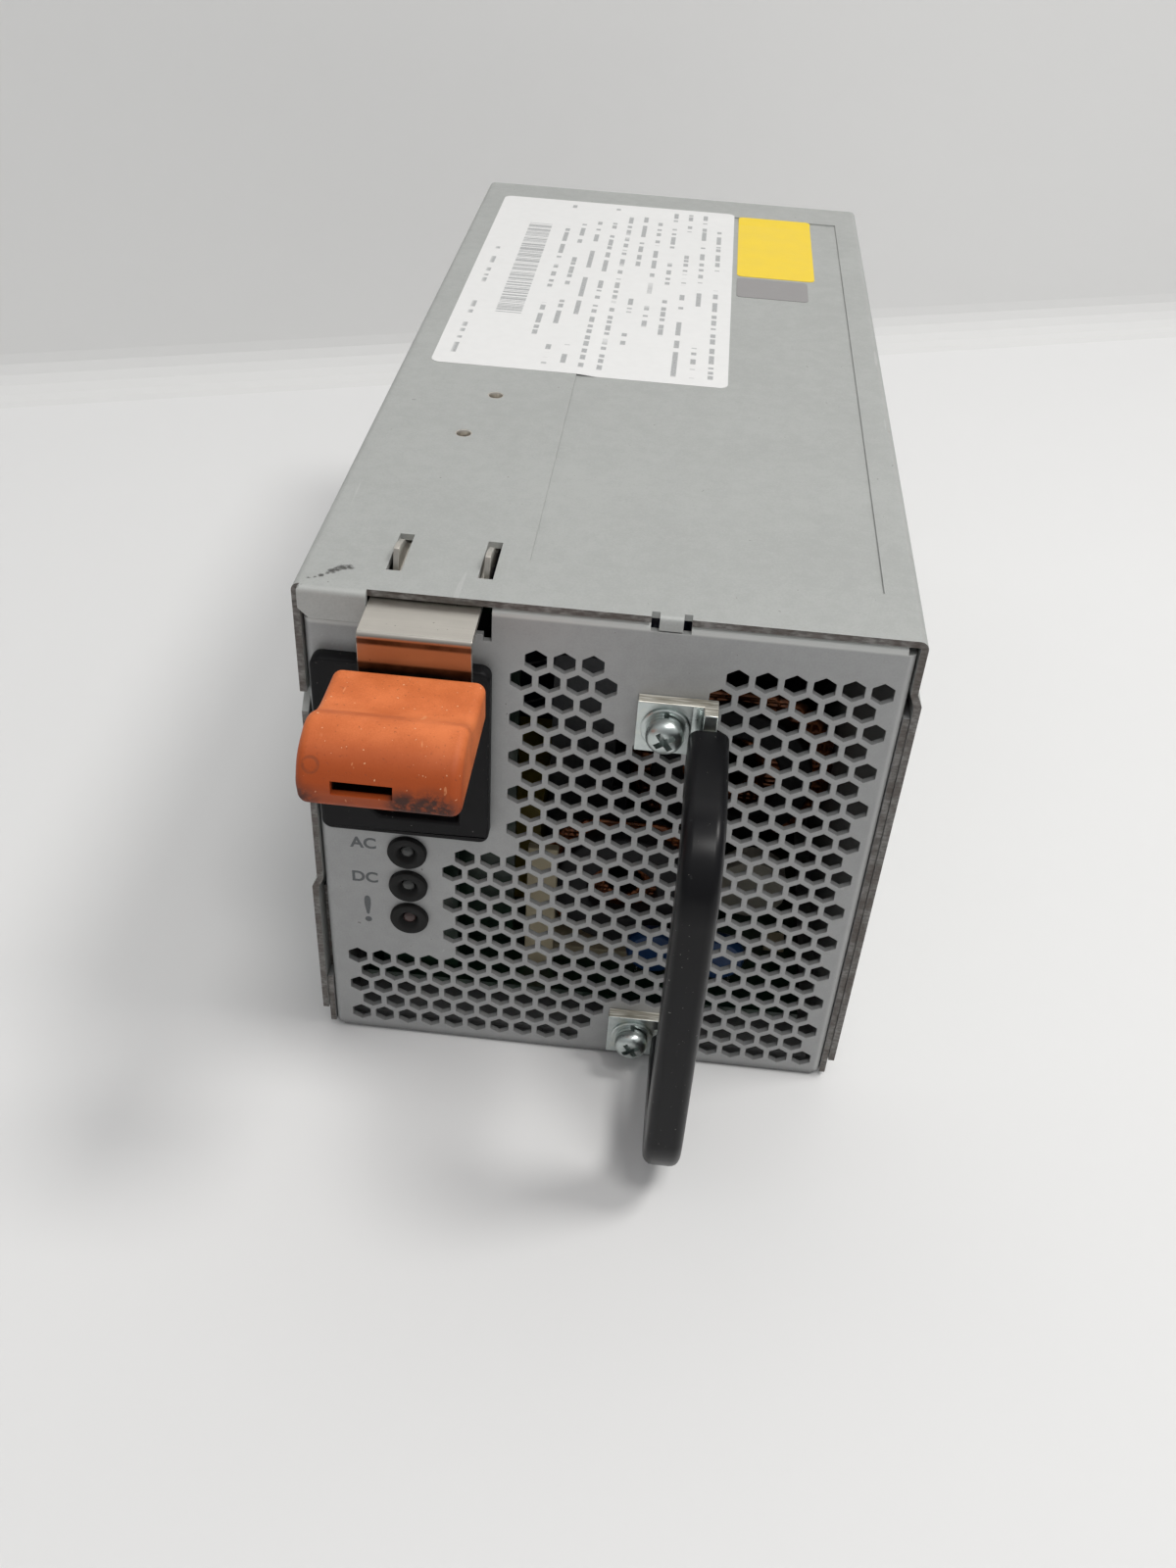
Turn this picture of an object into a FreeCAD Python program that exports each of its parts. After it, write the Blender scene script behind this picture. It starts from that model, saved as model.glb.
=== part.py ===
"""Hot swap server power supply, built as an assembly of separate parts.

The case stands on its floor: +X to the right, +Y from the front panel to the rear, +Z up.
Parts are drawn from the front left bottom corner of the case, and placed so that the origin
is the middle of the footprint. Millimetres.
"""
import FreeCAD, Part
import math
import os
import Sketcher
from FreeCAD import Placement, Rotation, Vector

SIZES = {
    # case: sheet metal, walls and laps
    "case_width": "86.5",
    "case_height": "89.5",
    "case_length": "185.4",
    "sheet": "1.0",
    "lap_gap": "0.15",
    "fit_gap": "0.05",
    "bend_inside": "0.3",
    "cover_foot": "4.6",
    "left_lap_top": "33.0",
    "right_lap_top": "79.0",
    "lap_offset": "0.9",
    "lap_rise": "2.0",
    "lap_clear": "2.4",
    "flange": "8.0",
    "tray_setback": "0.3",
    "left_relief": "3.0",
    "left_relief_foot": "12.0",
    "tongue_setback": "3.0",
    "tongue_inset": "2.3",
    "tongue_reach": "4.0",
    # top cover: corner lip, middle tab, pressed panel
    "lip_width": "10.5",
    "lip_drop": "4.8",
    "lip_round": "1.5",
    "tab_left": "50.35",
    "tab_width": "3.25",
    "tab_drop": "2.1",
    "tab_relief": "1.15",
    "tab_relief_depth": "1.3",
    "press_left": "31.0",
    "press_right": "81.5",
    "press_front": "11.4",
    "press_rear": "174.6",
    "press_depth": "0.3",
    "nick": "3.5",
    "nick_height": "71.4",
    # flats of the small and the larger pieces that are drawn as bars
    "small_sides": "8",
    "large_sides": "16",
    "duct_sides": "32",
    # vent field of the front panel
    "hex_pitch": "4.0",
    "hex_flats": "3.12",
    "vent_right": "81.8",
    "vent_top": "80.5",
    "vent_left": "5.0",
    "vent_bottom": "3.5",
    "vent_clear_inlet": "3.2",
    "vent_clear_below_inlet": "3.9",
    "vent_clear_lamp": "6.2",
    "vent_clear_below_lamp": "8.4",
    "vent_clear_ear": "3.6",
    "vent_clear_ear_low": "1.6",
    "vent_clear_plate": "1.1",
    "vent_clear_plate_low": "3.1",
    "vent_clear_below_ear": "4.2",
    "vent_clear_above_ear": "4.9",
    "vent_clear_above_screw": "1.9",
    # mains inlet
    "inlet_left": "2.3",
    "inlet_foot": "48.0",
    "inlet_width": "25.5",
    "inlet_height": "31.3",
    "inlet_proud": "2.5",
    "inlet_corner": "1.6",
    "inlet_body_width": "22.3",
    "inlet_body_height": "27.6",
    "inlet_body_depth": "16.0",
    "socket_width": "16.4",
    "socket_height": "24.4",
    "socket_depth": "17.0",
    "socket_chamfer": "4.5",
    "pin_width": "4.0",
    "pin_thickness": "2.0",
    "pin_spacing": "7.0",
    "pin_offset": "2.0",
    "pin_setback": "2.0",
    "pin_tail": "3.0",
    # status lamps
    "lamp_x": "14.8",
    "lamp_low": "28.4",
    "lamp_pitch": "7.1",
    "bezel_radius": "3.1",
    "bezel_proud": "0.9",
    "bezel_body_radius": "2.4",
    "bezel_depth": "5.0",
    "lens_radius": "1.15",
    "lens_setback": "0.3",
    "lamp_board_gap": "7.0",
    "lamp_board_width": "13.0",
    # handle
    "plate": "2.0",
    "handle_x": "57.7",
    "handle_top": "75.0",
    "handle_foot": "4.0",
    "handle_reach": "31.5",
    "handle_top_radius": "12.0",
    "handle_foot_radius": "13.5",
    "sleeve_depth": "8.0",
    "sleeve_width": "5.7",
    "sleeve_round": "1.2",
    "sleeve_start": "4.6",
    "ear_left": "48.4",
    "core_depth": "6.2",
    "ear_height": "8.6",
    "ear_root": "4.0",
    "screw_x": "52.6",
    "screw_high": "72.6",
    "screw_low": "7.6",
    "screw_radius": "1.5",
    "screw_clearance": "0.2",
    "screw_head_radius": "2.75",
    "screw_head": "2.1",
    "screw_length": "8.0",
    "washer_radius": "3.5",
    "washer": "0.5",
    "spring_washer_radius": "2.7",
    "spring_washer": "0.8",
    "spring_washer_gap": "0.5",
    "nut_width": "5.5",
    "nut": "2.4",
    # release latch
    "leaf": "0.8",
    "leaf_gap": "0.3",
    "leaf_left": "12.6",
    "leaf_width": "13.6",
    "leaf_lip_gap": "0.3",
    "leaf_shoulder": "3.0",
    "leaf_reach": "8.6",
    "latch_pivot": "44.0",
    "leaf_drop": "7.2",
    "leaf_tongue": "17.0",
    "tongue_left": "11.0",
    "tongue_width": "12.0",
    "leaf_bend": "0.8",
    "latch_root_end": "72.0",
    "root_step": "3.0",
    "hinge_gap": "0.3",
    "hook_front": "7.1",
    "hook_length": "8.0",
    "hook_rise": "2.0",
    "hook_lean": "1.0",
    "hook_crest": "1.4",
    "slot_side_gap": "0.6",
    "slot_width": "2.1",
    "slot_front_gap": "1.5",
    "slot_rear_gap": "0.8",
    "rivet_radius": "1.45",
    "rivet_bore": "1.05",
    "rivet_front_x": "15.6",
    "rivet_front_y": "50.2",
    "rivet_rear_x": "18.6",
    "rivet_rear_y": "65.9",
    "latch_sill": "84.0",
    "latch_notch_right": "27.6",
    "latch_slit": "1.2",
    "latch_slit_depth": "1.0",
    "grip_left": "7.9",
    "grip_width": "20.5",
    "grip_back_gap": "0.9",
    "grip_front": "31.9",
    "grip_top": "83.2",
    "grip_crest": "3.0",
    "grip_crest_back": "10.6",
    "grip_crest_run": "4.4",
    "grip_brow": "2.4",
    "grip_chin": "4.4",
    "grip_floor": "76.8",
    "window_left": "12.2",
    "window_width": "7.8",
    "window_low": "79.5",
    "window_height": "2.0",
    "tongue_fit": "0.1",
    # main board and its supports
    "board_left": "6.0",
    "board_width": "74.5",
    "board_front": "5.0",
    "board_length": "172.0",
    "board": "1.6",
    "standoff": "7.0",
    "standoff_radius": "2.9",
    "support_left": "9.5",
    "support_right": "76.5",
    "support_front": "21.5",
    "support_rear": "164.0",
    "support_neck": "2.4",
    "support_cap": "3.6",
    "support_cap_height": "1.2",
    "insulation": "0.4",
    "insulation_margin": "3.0",
    # mains filter
    "inlet_board_left": "2.8",
    "inlet_board_width": "27.0",
    "blue_cap_radius": "4.7",
    "blue_cap_thickness": "3.6",
    "blue_cap_x": "54.8",
    "blue_cap_y": "8.2",
    "blue_cap_pitch": "11.0",
    "blue_cap_lift": "2.6",
    "lead": "0.6",
    "lead_spacing": "5.0",
    "film_width": "12.0",
    "film_length": "26.0",
    "film_height": "22.0",
    "film_x": "7.0",
    "film_y": "27.0",
    "film_pitch": "14.0",
    "filter_choke_x": "48.5",
    "filter_choke_y": "15.0",
    "filter_choke_radius": "12.0",
    "filter_choke_bore": "6.0",
    "filter_choke_thickness": "8.0",
    "bobbin_left": "32.6",
    "bobbin_bar": "5.0",
    "bobbin_wall": "1.6",
    "bobbin_top": "37.0",
    "bobbin_front": "10.0",
    "choke_winding": "1.0",
    "choke_divider": "4.0",
    "fuse_x": "8.0",
    "fuse_y": "56.8",
    "fuse_lift": "5.0",
    "fuse_length": "20.0",
    "fuse_radius": "2.6",
    "fuse_clip": "5.0",
    "relay_width": "13.0",
    "relay_length": "19.0",
    "relay_height": "16.0",
    "relay_x": "34.5",
    "relay_y": "42.0",
    "thermistor_radius": "6.5",
    "thermistor_thickness": "4.5",
    "thermistor_x": "71.5",
    "thermistor_y": "28.0",
    # primary side
    "bridge_sink_x": "33.6",
    "bridge_sink_y": "34.0",
    "bridge_sink_width": "11.2",
    "bridge_sink_height": "49.5",
    "bridge_sink_plate": "3.0",
    "bridge_width": "9.6",
    "bridge_height": "17.0",
    "bridge_thickness": "3.8",
    "boost_x": "66.5",
    "boost_y": "44.0",
    "boost_width": "14.0",
    "boost_radius": "17.3",
    "boost_bore": "7.0",
    "boost_copper": "2.2",
    "boost_gap_width": "7.0",
    "bulk_x": "20.0",
    "bulk_pitch": "30.0",
    "bulk_y": "76.0",
    "bulk_radius": "14.0",
    "bulk_height": "48.0",
    "sink_x": "70.0",
    "sink_front": "63.0",
    "sink_length": "52.0",
    "sink_height": "52.0",
    "sink_plate": "2.5",
    "sink_fin": "6.0",
    "sink_fin_thickness": "1.2",
    "sink_fin_pitch": "10.0",
    "transistor_width": "15.6",
    "transistor_height": "20.0",
    "transistor_thickness": "4.8",
    # transformer and secondary side
    "core_x": "18.0",
    "core_y": "98.0",
    "core_width": "40.0",
    "core_length": "34.0",
    "core_height": "36.0",
    "core_leg": "9.0",
    "bobbin_overhang": "4.0",
    "standby_x": "61.0",
    "standby_y": "118.0",
    "standby_width": "17.0",
    "standby_length": "18.0",
    "standby_height": "17.0",
    "rectifier_sink_x": "9.0",
    "rectifier_sink_front": "98.0",
    "rectifier_sink_length": "50.0",
    "rectifier_sink_height": "40.0",
    "output_choke_x": "27.0",
    "output_choke_y": "145.0",
    "output_choke_radius": "9.0",
    "output_choke_bore": "4.0",
    "output_choke_height": "12.0",
    "can_radius": "4.0",
    "can_height": "14.0",
    "can_x": "42.0",
    "can_y": "142.0",
    "can_pitch": "9.0",
    "control_x": "66.0",
    "control_front": "138.0",
    "control_length": "19.0",
    "control_height": "36.0",
    "chip_size": "7.0",
    "chip_thickness": "1.2",
    # fan
    "fan_size": "60.0",
    "fan_depth": "25.0",
    "fan_foot": "26.5",
    "fan_duct_radius": "28.4",
    "fan_corner": "3.5",
    "fan_hole_spacing": "50.0",
    "fan_hole_radius": "2.0",
    "fan_hole_depth": "8.0",
    "fan_motor_radius": "12.5",
    "fan_motor_depth": "4.0",
    "fan_strut": "2.4",
    "stator_width": "6.0",
    "stator_reach": "10.8",
    "stator_length": "8.0",
    "hub_radius": "13.0",
    "hub_wall": "1.4",
    "hub_depth": "17.0",
    "tip_gap": "0.8",
    "blade_count": "7",
    "blade_pitch": "38.0",
    "blade_root_chord": "14.0",
    "blade_tip_chord": "21.0",
    "blade": "1.1",
    "shaft_radius": "1.5",
    "bush_radius": "3.0",
    "bush_length": "9.0",
    "bush_gap": "0.05",
    "axial_gap": "0.4",
    "fan_screw_head": "3.2",
    "fan_screw_head_height": "1.2",
    "fan_screw_length": "7.0",
    # rear panel and output connector
    "guard_slot": "3.4",
    "guard_bar": "1.6",
    "guard_slots": "11",
    "connector_left": "14.0",
    "connector_width": "58.0",
    "connector_height": "13.5",
    "connector_depth": "18.0",
    "connector_proud": "6.0",
    "connector_side_gap": "0.3",
    "blade_slot_width": "6.4",
    "blade_slot_height": "8.6",
    "blade_slot_depth": "6.0",
    "blade_slot_pitch": "8.0",
    "blade_slots": "4",
    "contact": "1.0",
    "signal_columns": "5",
    "signal_rows": "3",
    "signal_pitch": "3.2",
    "signal_pin": "0.7",
    "signal_wall": "1.5",
}

doc = FreeCAD.newDocument("power_supply")
SUBPARTS = []


# ---------------------------------------------------------------- sizes and expressions

def fill_sheet():
    """The sheet of driving dimensions: one cell and one alias for each size."""
    sheet = doc.addObject("Spreadsheet::Sheet", "Sizes")
    for row, (alias, number) in enumerate(SIZES.items(), start=1):
        sheet.set("A%d" % row, alias)
        sheet.set("B%d" % row, number)
        sheet.setAlias("B%d" % row, alias)
    doc.recompute()
    return sheet


class Size:
    """A length that knows its number and its expression on the sheet."""

    def __init__(self, value, text):
        self.value = value
        self.text = text

    def __add__(self, other):
        other = size(other)
        return Size(self.value + other.value, "(%s + %s)" % (self.text, other.text))

    def __sub__(self, other):
        other = size(other)
        return Size(self.value - other.value, "(%s - %s)" % (self.text, other.text))

    def __mul__(self, other):
        other = size(other)
        return Size(self.value * other.value, "(%s * %s)" % (self.text, other.text))

    def __truediv__(self, other):
        other = size(other)
        return Size(self.value / other.value, "(%s / %s)" % (self.text, other.text))

    def __radd__(self, other):
        return size(other) + self

    def __rsub__(self, other):
        return size(other) - self

    def __rmul__(self, other):
        return size(other) * self

    def __neg__(self):
        return size(0) - self


def size(number):
    if isinstance(number, Size):
        return number
    return Size(float(number), repr(float(number)))


class Dimensions:
    """Reads a cell of the sheet by its alias."""

    def __init__(self, sheet):
        self._sheet = sheet

    def __getattr__(self, alias):
        return Size(float(self._sheet.get(alias)), "Sizes.%s" % alias)


def bind(item, **properties):
    """Ties properties to expressions; a double underscore stands for a dot."""
    for name, amount in properties.items():
        item.setExpression(name.replace("__", "."), size(amount).text)
    return item


def place(item, x, y, z):
    return bind(item, Placement__Base__x=x, Placement__Base__y=y, Placement__Base__z=z)


# ---------------------------------------------------------------- Part primitives and booleans

CORNERS = {}
TURNS = {
    "X": Rotation(Vector(0, 1, 0), 90),
    "Y": Rotation(Vector(1, 0, 0), -90),
    "Z": Rotation(),
}


def box(x, y, z, width, length, height):
    """A block from its lowest corner."""
    item = doc.addObject("Part::Box", "Block")
    bind(item, Length=width, Width=length, Height=height)
    CORNERS[item.Name] = (x, y, z)
    return place(item, x, y, z)


def rod(x, y, z, radius, length, axis="Z"):
    """A cylinder from the middle of its first end, along a positive axis."""
    item = doc.addObject("Part::Cylinder", "Rod")
    item.Placement = Placement(Vector(), TURNS[axis])
    bind(item, Radius=radius, Height=length)
    CORNERS[item.Name] = (x, y, z)
    return place(item, x, y, z)


def bar(x, y, z, radius, length, axis="Z", sides=0):
    """A bar with flats, drawn from the middle of its first end; small round pieces use it too."""
    item = doc.addObject("Part::Prism", "Bar")
    item.setExpression("Polygon", size(sides or s.small_sides).text)
    item.Placement = Placement(Vector(), TURNS[axis])
    bind(item, Circumradius=radius, Height=length)
    CORNERS[item.Name] = (x, y, z)
    return place(item, x, y, z)


def fuse(*items):
    item = doc.addObject("Part::MultiFuse", "Fuse")
    item.Shapes = list(items)
    item.Refine = True
    return item


def group(*items):
    """Separate solids that share one node."""
    item = doc.addObject("Part::Compound", "Group")
    item.Links = list(items)
    return item


def cut(base, *tools):
    item = doc.addObject("Part::Cut", "Cut")
    item.Base = base
    item.Tool = tools[0] if len(tools) == 1 else fuse(*tools)
    item.Refine = True
    return item


def ring(x, y, z, radius, bore, length, axis="Z", sides=0):
    return cut(bar(x, y, z, radius, length, axis, sides), bar(x, y, z, bore, length, axis, sides))


def prism(points, axis, start, length):
    """Extrudes a closed outline along X, Y or Z from the plane at start."""
    frames = {
        "X": lambda u, v: Vector(start.value, u, v),
        "Y": lambda u, v: Vector(u, start.value, v),
        "Z": lambda u, v: Vector(u, v, start.value),
    }
    steps = {"X": Vector(1, 0, 0), "Y": Vector(0, 1, 0), "Z": Vector(0, 0, 1)}
    corners = [frames[axis](size(u).value, size(v).value) for u, v in points]
    face = Part.Face(Part.makePolygon(corners + corners[:1]))
    return face.extrude(steps[axis] * length.value)


def feature(shape, name="Form"):
    """A shape made with Part's own functions, as an object of the document."""
    item = doc.addObject("Part::Feature", name)
    item.Shape = shape
    return item


def edges_where(shape, test):
    """Numbers of the edges whose two ends pass the test."""
    numbers = []
    for number, edge in enumerate(shape.Edges, start=1):
        ends = [vertex.Point for vertex in edge.Vertexes]
        if len(ends) == 2 and test(ends[0], ends[1]):
            numbers.append(number)
    return numbers


def rounded(base, radius, test):
    """A Part::Fillet on the edges of base that pass the test."""
    doc.recompute()
    item = doc.addObject("Part::Fillet", "Rounded")
    item.Base = base
    item.Edges = [(number, radius.value, radius.value) for number in edges_where(base.Shape, test)]
    return item


def near(number, target):
    return abs(number - size(target).value) < 0.01


# ---------------------------------------------------------------- PartDesign bodies

def new_body(name):
    return doc.addObject("PartDesign::Body", name)


def sketch(body, plane, level=0):
    """A sketch on one of the body's own origin planes, moved along +X, +Y or +Z by level."""
    item = body.newObject("Sketcher::SketchObject", body.Name + "_sketch")
    support = [datum for datum in body.Origin.OriginFeatures if datum.Role == plane][0]
    item.AttachmentSupport = [(support, "")]
    item.MapMode = "FlatFace"
    offset = -size(level) if plane == "XZ_Plane" else size(level)
    item.setExpression("AttachmentOffset.Base.z", offset.text)
    return item


def pin_point(drawing, geometry, end, u, v):
    """Holds one point of a sketch at two distances from its origin."""
    for kind, amount in (("DistanceX", size(u)), ("DistanceY", size(v))):
        number = drawing.addConstraint(
            Sketcher.Constraint(kind, -1, 1, geometry, end, amount.value))
        drawing.setExpression("Constraints[%d]" % number, amount.text)


def polygon(drawing, points):
    """A closed outline; every corner hangs on the sheet."""
    first = drawing.GeometryCount
    ends = [Vector(size(u).value, size(v).value, 0) for u, v in points]
    for start, end in zip(ends, ends[1:] + ends[:1]):
        drawing.addGeometry(Part.LineSegment(start, end), False)
    count = len(points)
    for number in range(count):
        following = first + (number + 1) % count
        drawing.addConstraint(Sketcher.Constraint("Coincident", first + number, 2, following, 1))
    for number, (u, v) in enumerate(points):
        pin_point(drawing, first + number, 1, u, v)


def rectangle(drawing, u, v, width, height):
    polygon(drawing, [(u, v), (u + width, v), (u + width, v + height), (u, v + height)])


def pad(body, drawing, length):
    """Adds the outline's extrusion; on the XZ plane it grows towards +Y."""
    item = body.newObject("PartDesign::Pad", body.Name + "_pad")
    item.Profile = drawing
    item.Reversed = drawing.AttachmentSupport[0][0].Role == "XZ_Plane"
    return bind(item, Length=length)


def pocket(body, drawing, depth):
    """Cuts the outline, depth deep towards +Y, or towards -X or -Z."""
    item = body.newObject("PartDesign::Pocket", body.Name + "_pocket")
    item.Profile = drawing
    return bind(item, Length=depth)


def soften(body, base, radius, test):
    """A PartDesign fillet on the edges of base that pass the test."""
    doc.recompute()
    item = body.newObject("PartDesign::Fillet", body.Name + "_fillet")
    names = ["Edge%d" % number for number in edges_where(base.Shape, test)]
    item.Base = (base, names)
    return bind(item, Radius=radius)


def keep(item, label, at=None):
    """Names a finished sub-part and places it in the frame of the whole supply."""
    x, y, z = at or CORNERS.get(item.Name, (0, 0, 0))
    item.Label = label
    place(item, x - s.case_width / 2, y - s.case_length / 2, size(z))
    SUBPARTS.append(item)
    return item


s = Dimensions(fill_sheet())

# heights and faces that many parts share
roof = s.case_height - s.sheet
panel_left = s.sheet + s.lap_gap + s.fit_gap
panel_right = s.case_width - panel_left
panel_top = roof - s.fit_gap
board_foot = s.sheet + s.standoff
board_top = board_foot + s.board
leaf_top = roof - s.leaf_gap
leaf_foot = leaf_top - s.leaf
leaf_right = s.leaf_left + s.leaf_width
inlet_x = s.inlet_left + s.inlet_width / 2
inlet_z = s.inlet_foot + s.inlet_height / 2
rear_face = s.case_length
fan_front = rear_face - s.sheet - s.fan_depth
fan_x = s.case_width / 2
fan_z = s.fan_foot + s.fan_size / 2
folded = s.bend_inside + s.sheet
lamp_heights = [s.lamp_low + s.lamp_pitch * number for number in range(3)]
screw_heights = (s.screw_low, s.screw_high)
hook_lefts = (s.leaf_left, leaf_right - s.leaf)
rivet_places = ((s.rivet_front_x, s.rivet_front_y), (s.rivet_rear_x, s.rivet_rear_y))
support_places = [(x, y) for x in (s.support_left, s.support_right)
                  for y in (s.support_front, s.support_rear)]
fan_hole_places = [(fan_x + s.fan_hole_spacing / 2 * side, fan_z + s.fan_hole_spacing / 2 * level)
                   for side in (-1, 1) for level in (-1, 1)]
connector_front = rear_face + s.connector_proud - s.connector_depth
tongue_foot = leaf_top - s.leaf_drop


# ---------------------------------------------------------------- sheet metal

def make_cover():
    """Top cover: roof and side walls, joggled outwards where they lap over the chassis."""
    body = new_body("cover")
    width, height, lap = s.case_width, s.case_height, s.lap_offset
    skin, rise = s.sheet, s.lap_rise
    corner = skin * lap / rise / 2
    walls = sketch(body, "XZ_Plane")
    polygon(walls, [
        (-lap, s.cover_foot), (-lap, s.left_lap_top), (0, s.left_lap_top + rise), (0, height),
        (width, height), (width, s.right_lap_top + rise), (width + lap, s.right_lap_top),
        (width + lap, s.cover_foot), (width + lap - skin, s.cover_foot),
        (width + lap - skin, s.right_lap_top - corner),
        (width - skin, s.right_lap_top + rise - corner), (width - skin, roof), (skin, roof),
        (skin, s.left_lap_top + rise - corner), (skin - lap, s.left_lap_top - corner),
        (skin - lap, s.cover_foot)])
    pad(body, walls, s.case_length)

    bulge = sketch(body, "XY_Plane", roof - s.press_depth)
    rectangle(bulge, s.press_left, s.press_front, s.press_right - s.press_left,
              s.press_rear - s.press_front)
    base = pad(body, bulge, s.press_depth)
    base = soften(body, base, folded, lambda a, b: (
        near(a.z, height) and near(b.z, height) and near(a.x, b.x)
        and (near(a.x, 0) or near(a.x, width))))
    soften(body, base, s.bend_inside, lambda a, b: (
        near(a.z, roof) and near(b.z, roof) and near(a.x, b.x)
        and (near(a.x, skin) or near(a.x, width - skin))))

    lip_foot = height - s.lip_drop
    lip = sketch(body, "XZ_Plane", -skin - s.fit_gap)
    polygon(lip, [(skin, lip_foot + s.lip_round), (skin + s.lip_round, lip_foot),
                  (s.lip_width, lip_foot), (s.lip_width, height), (folded, height),
                  (skin, height - s.bend_inside)])
    pad(body, lip, skin)
    bend = sketch(body, "XZ_Plane", -s.fit_gap)
    rectangle(bend, folded, roof, s.lip_width - folded, skin)
    pad(body, bend, s.fit_gap)

    tab = sketch(body, "XZ_Plane")
    rectangle(tab, s.tab_left, height - s.tab_drop, s.tab_width, s.tab_drop - skin)
    pad(body, tab, skin)

    press = sketch(body, "XY_Plane", height)
    rectangle(press, s.press_left + s.press_depth, s.press_front + s.press_depth,
              s.press_right - s.press_left - 2 * s.press_depth,
              s.press_rear - s.press_front - 2 * s.press_depth)
    pocket(body, press, s.press_depth)

    openings = sketch(body, "XY_Plane", height)
    slot_length = s.slot_front_gap + s.hook_length + s.slot_rear_gap
    for hook in hook_lefts:
        rectangle(openings, hook - s.slot_side_gap, s.hook_front - s.slot_front_gap,
                  s.slot_width, slot_length)
    for left in (s.tab_left - s.tab_relief, s.tab_left + s.tab_width):
        rectangle(openings, left, -skin, s.tab_relief, skin + s.tab_relief_depth)
    pocket(body, openings, skin + s.press_depth)

    nick = sketch(body, "YZ_Plane", skin)
    polygon(nick, [(-s.nick, s.nick_height - 2 * s.nick), (s.nick, s.nick_height),
                   (-s.nick, s.nick_height)])
    pocket(body, nick, 2 * skin)

    rivets = [bar(x, y, roof, s.rivet_radius, s.sheet) for x, y in rivet_places]
    keep(cut(body, *rivets), "top_cover")


def make_tray():
    """Chassis tray: floor with a low left wall and a high right wall inside the cover."""
    body = new_body("tray")
    left = s.lap_gap
    right = s.case_width - s.lap_gap
    left_top = s.left_lap_top - s.lap_clear
    right_top = s.right_lap_top - s.lap_clear
    section = sketch(body, "XZ_Plane", s.tray_setback)
    polygon(section, [
        (left, left_top), (left, 0), (right, 0), (right, right_top),
        (right - s.sheet, right_top), (right - s.sheet, s.sheet),
        (left + s.sheet, s.sheet), (left + s.sheet, left_top)])
    base = pad(body, section, s.case_length - s.tray_setback)
    soften(body, base, folded, lambda a, b: (
        near(a.z, 0) and near(b.z, 0) and near(a.x, b.x)))

    mouth = sketch(body, "XY_Plane", s.sheet)
    rectangle(mouth, left, 0, right - left, s.flange + s.fit_gap)
    pocket(body, mouth, 2 * s.sheet)

    relief = sketch(body, "YZ_Plane", left + s.sheet)
    rectangle(relief, 0, s.left_relief_foot, s.left_relief, left_top - s.left_relief_foot)
    pocket(body, relief, 2 * s.sheet)

    tongue = sketch(body, "XY_Plane", s.sheet)
    inset = panel_left + s.tongue_inset
    rectangle(tongue, inset, s.tongue_setback, s.case_width - 2 * inset,
              s.flange + s.tongue_reach - s.tongue_setback)
    pad(body, tongue, s.sheet)

    keep(body, "chassis_tray")


def face_hole(x, z, radius, sides):
    """A regular outline in the panel's face, with a corner at the top."""
    turns = [2 * math.pi * number / sides for number in range(sides)]
    corners = [Vector(x + radius * math.sin(turn), 0, z + radius * math.cos(turn))
               for turn in turns]
    return Part.makePolygon(corners + corners[:1])


def closed_zones():
    """Parts of the panel without vents: left, right, bottom and top of each."""
    far = s.case_width.value
    plate_right = s.handle_x.value
    ear = s.ear_left.value
    return [
        (0, (s.inlet_left + s.inlet_width + s.vent_clear_inlet).value,
         (s.inlet_foot - s.vent_clear_below_inlet).value, far),
        (0, (s.lamp_x + s.vent_clear_lamp).value,
         (s.lamp_low - s.vent_clear_below_lamp).value, far),
        (ear - s.vent_clear_ear.value, plate_right + s.vent_clear_plate.value,
         (s.screw_high - s.vent_clear_below_ear).value, far),
        (ear - s.vent_clear_ear_low.value, plate_right + s.vent_clear_plate_low.value,
         0, (s.screw_low + s.vent_clear_above_ear).value),
        (ear - s.vent_clear_ear.value, plate_right + s.vent_clear_plate_low.value,
         0, (s.screw_low + s.vent_clear_above_screw).value),
    ]


def vent_holes():
    """The staggered field of hexagons, but for the closed zones."""
    zones = closed_zones()
    pitch = s.hex_pitch.value
    radius = s.hex_flats.value / math.sqrt(3)
    step = pitch * math.sqrt(3) / 2
    holes = []
    row = 0
    z = s.vent_top.value
    while z > s.vent_bottom.value:
        x = s.vent_right.value - (pitch / 2 if row % 2 else 0)
        while x > s.vent_left.value:
            if not any(left < x < right and foot < z < top for left, right, foot, top in zones):
                holes.append(face_hole(x, z, radius, 6))
            x -= pitch
        row += 1
        z -= step
    return holes


def fold(start, end, frame):
    """A flange bent back from the panel; frame maps (back, in, along) to a point."""
    outer, skin, reach = folded.value, s.sheet.value, s.flange.value
    diagonal = math.sqrt(0.5)

    def point(back, inward):
        return frame(back, inward, start)

    def bow(radius):
        return point(outer - radius * diagonal, outer - radius * diagonal)

    outline = Part.Wire([
        Part.Arc(point(0, outer), bow(outer), point(outer, 0)).toShape(),
        Part.LineSegment(point(outer, 0), point(reach, 0)).toShape(),
        Part.LineSegment(point(reach, 0), point(reach, skin)).toShape(),
        Part.LineSegment(point(reach, skin), point(outer, skin)).toShape(),
        Part.Arc(point(outer, skin), bow(outer - skin), point(skin, outer)).toShape(),
        Part.LineSegment(point(skin, outer), point(0, outer)).toShape(),
    ])
    return Part.Face(outline).extrude(frame(0, 0, end) - frame(0, 0, start))


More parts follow.
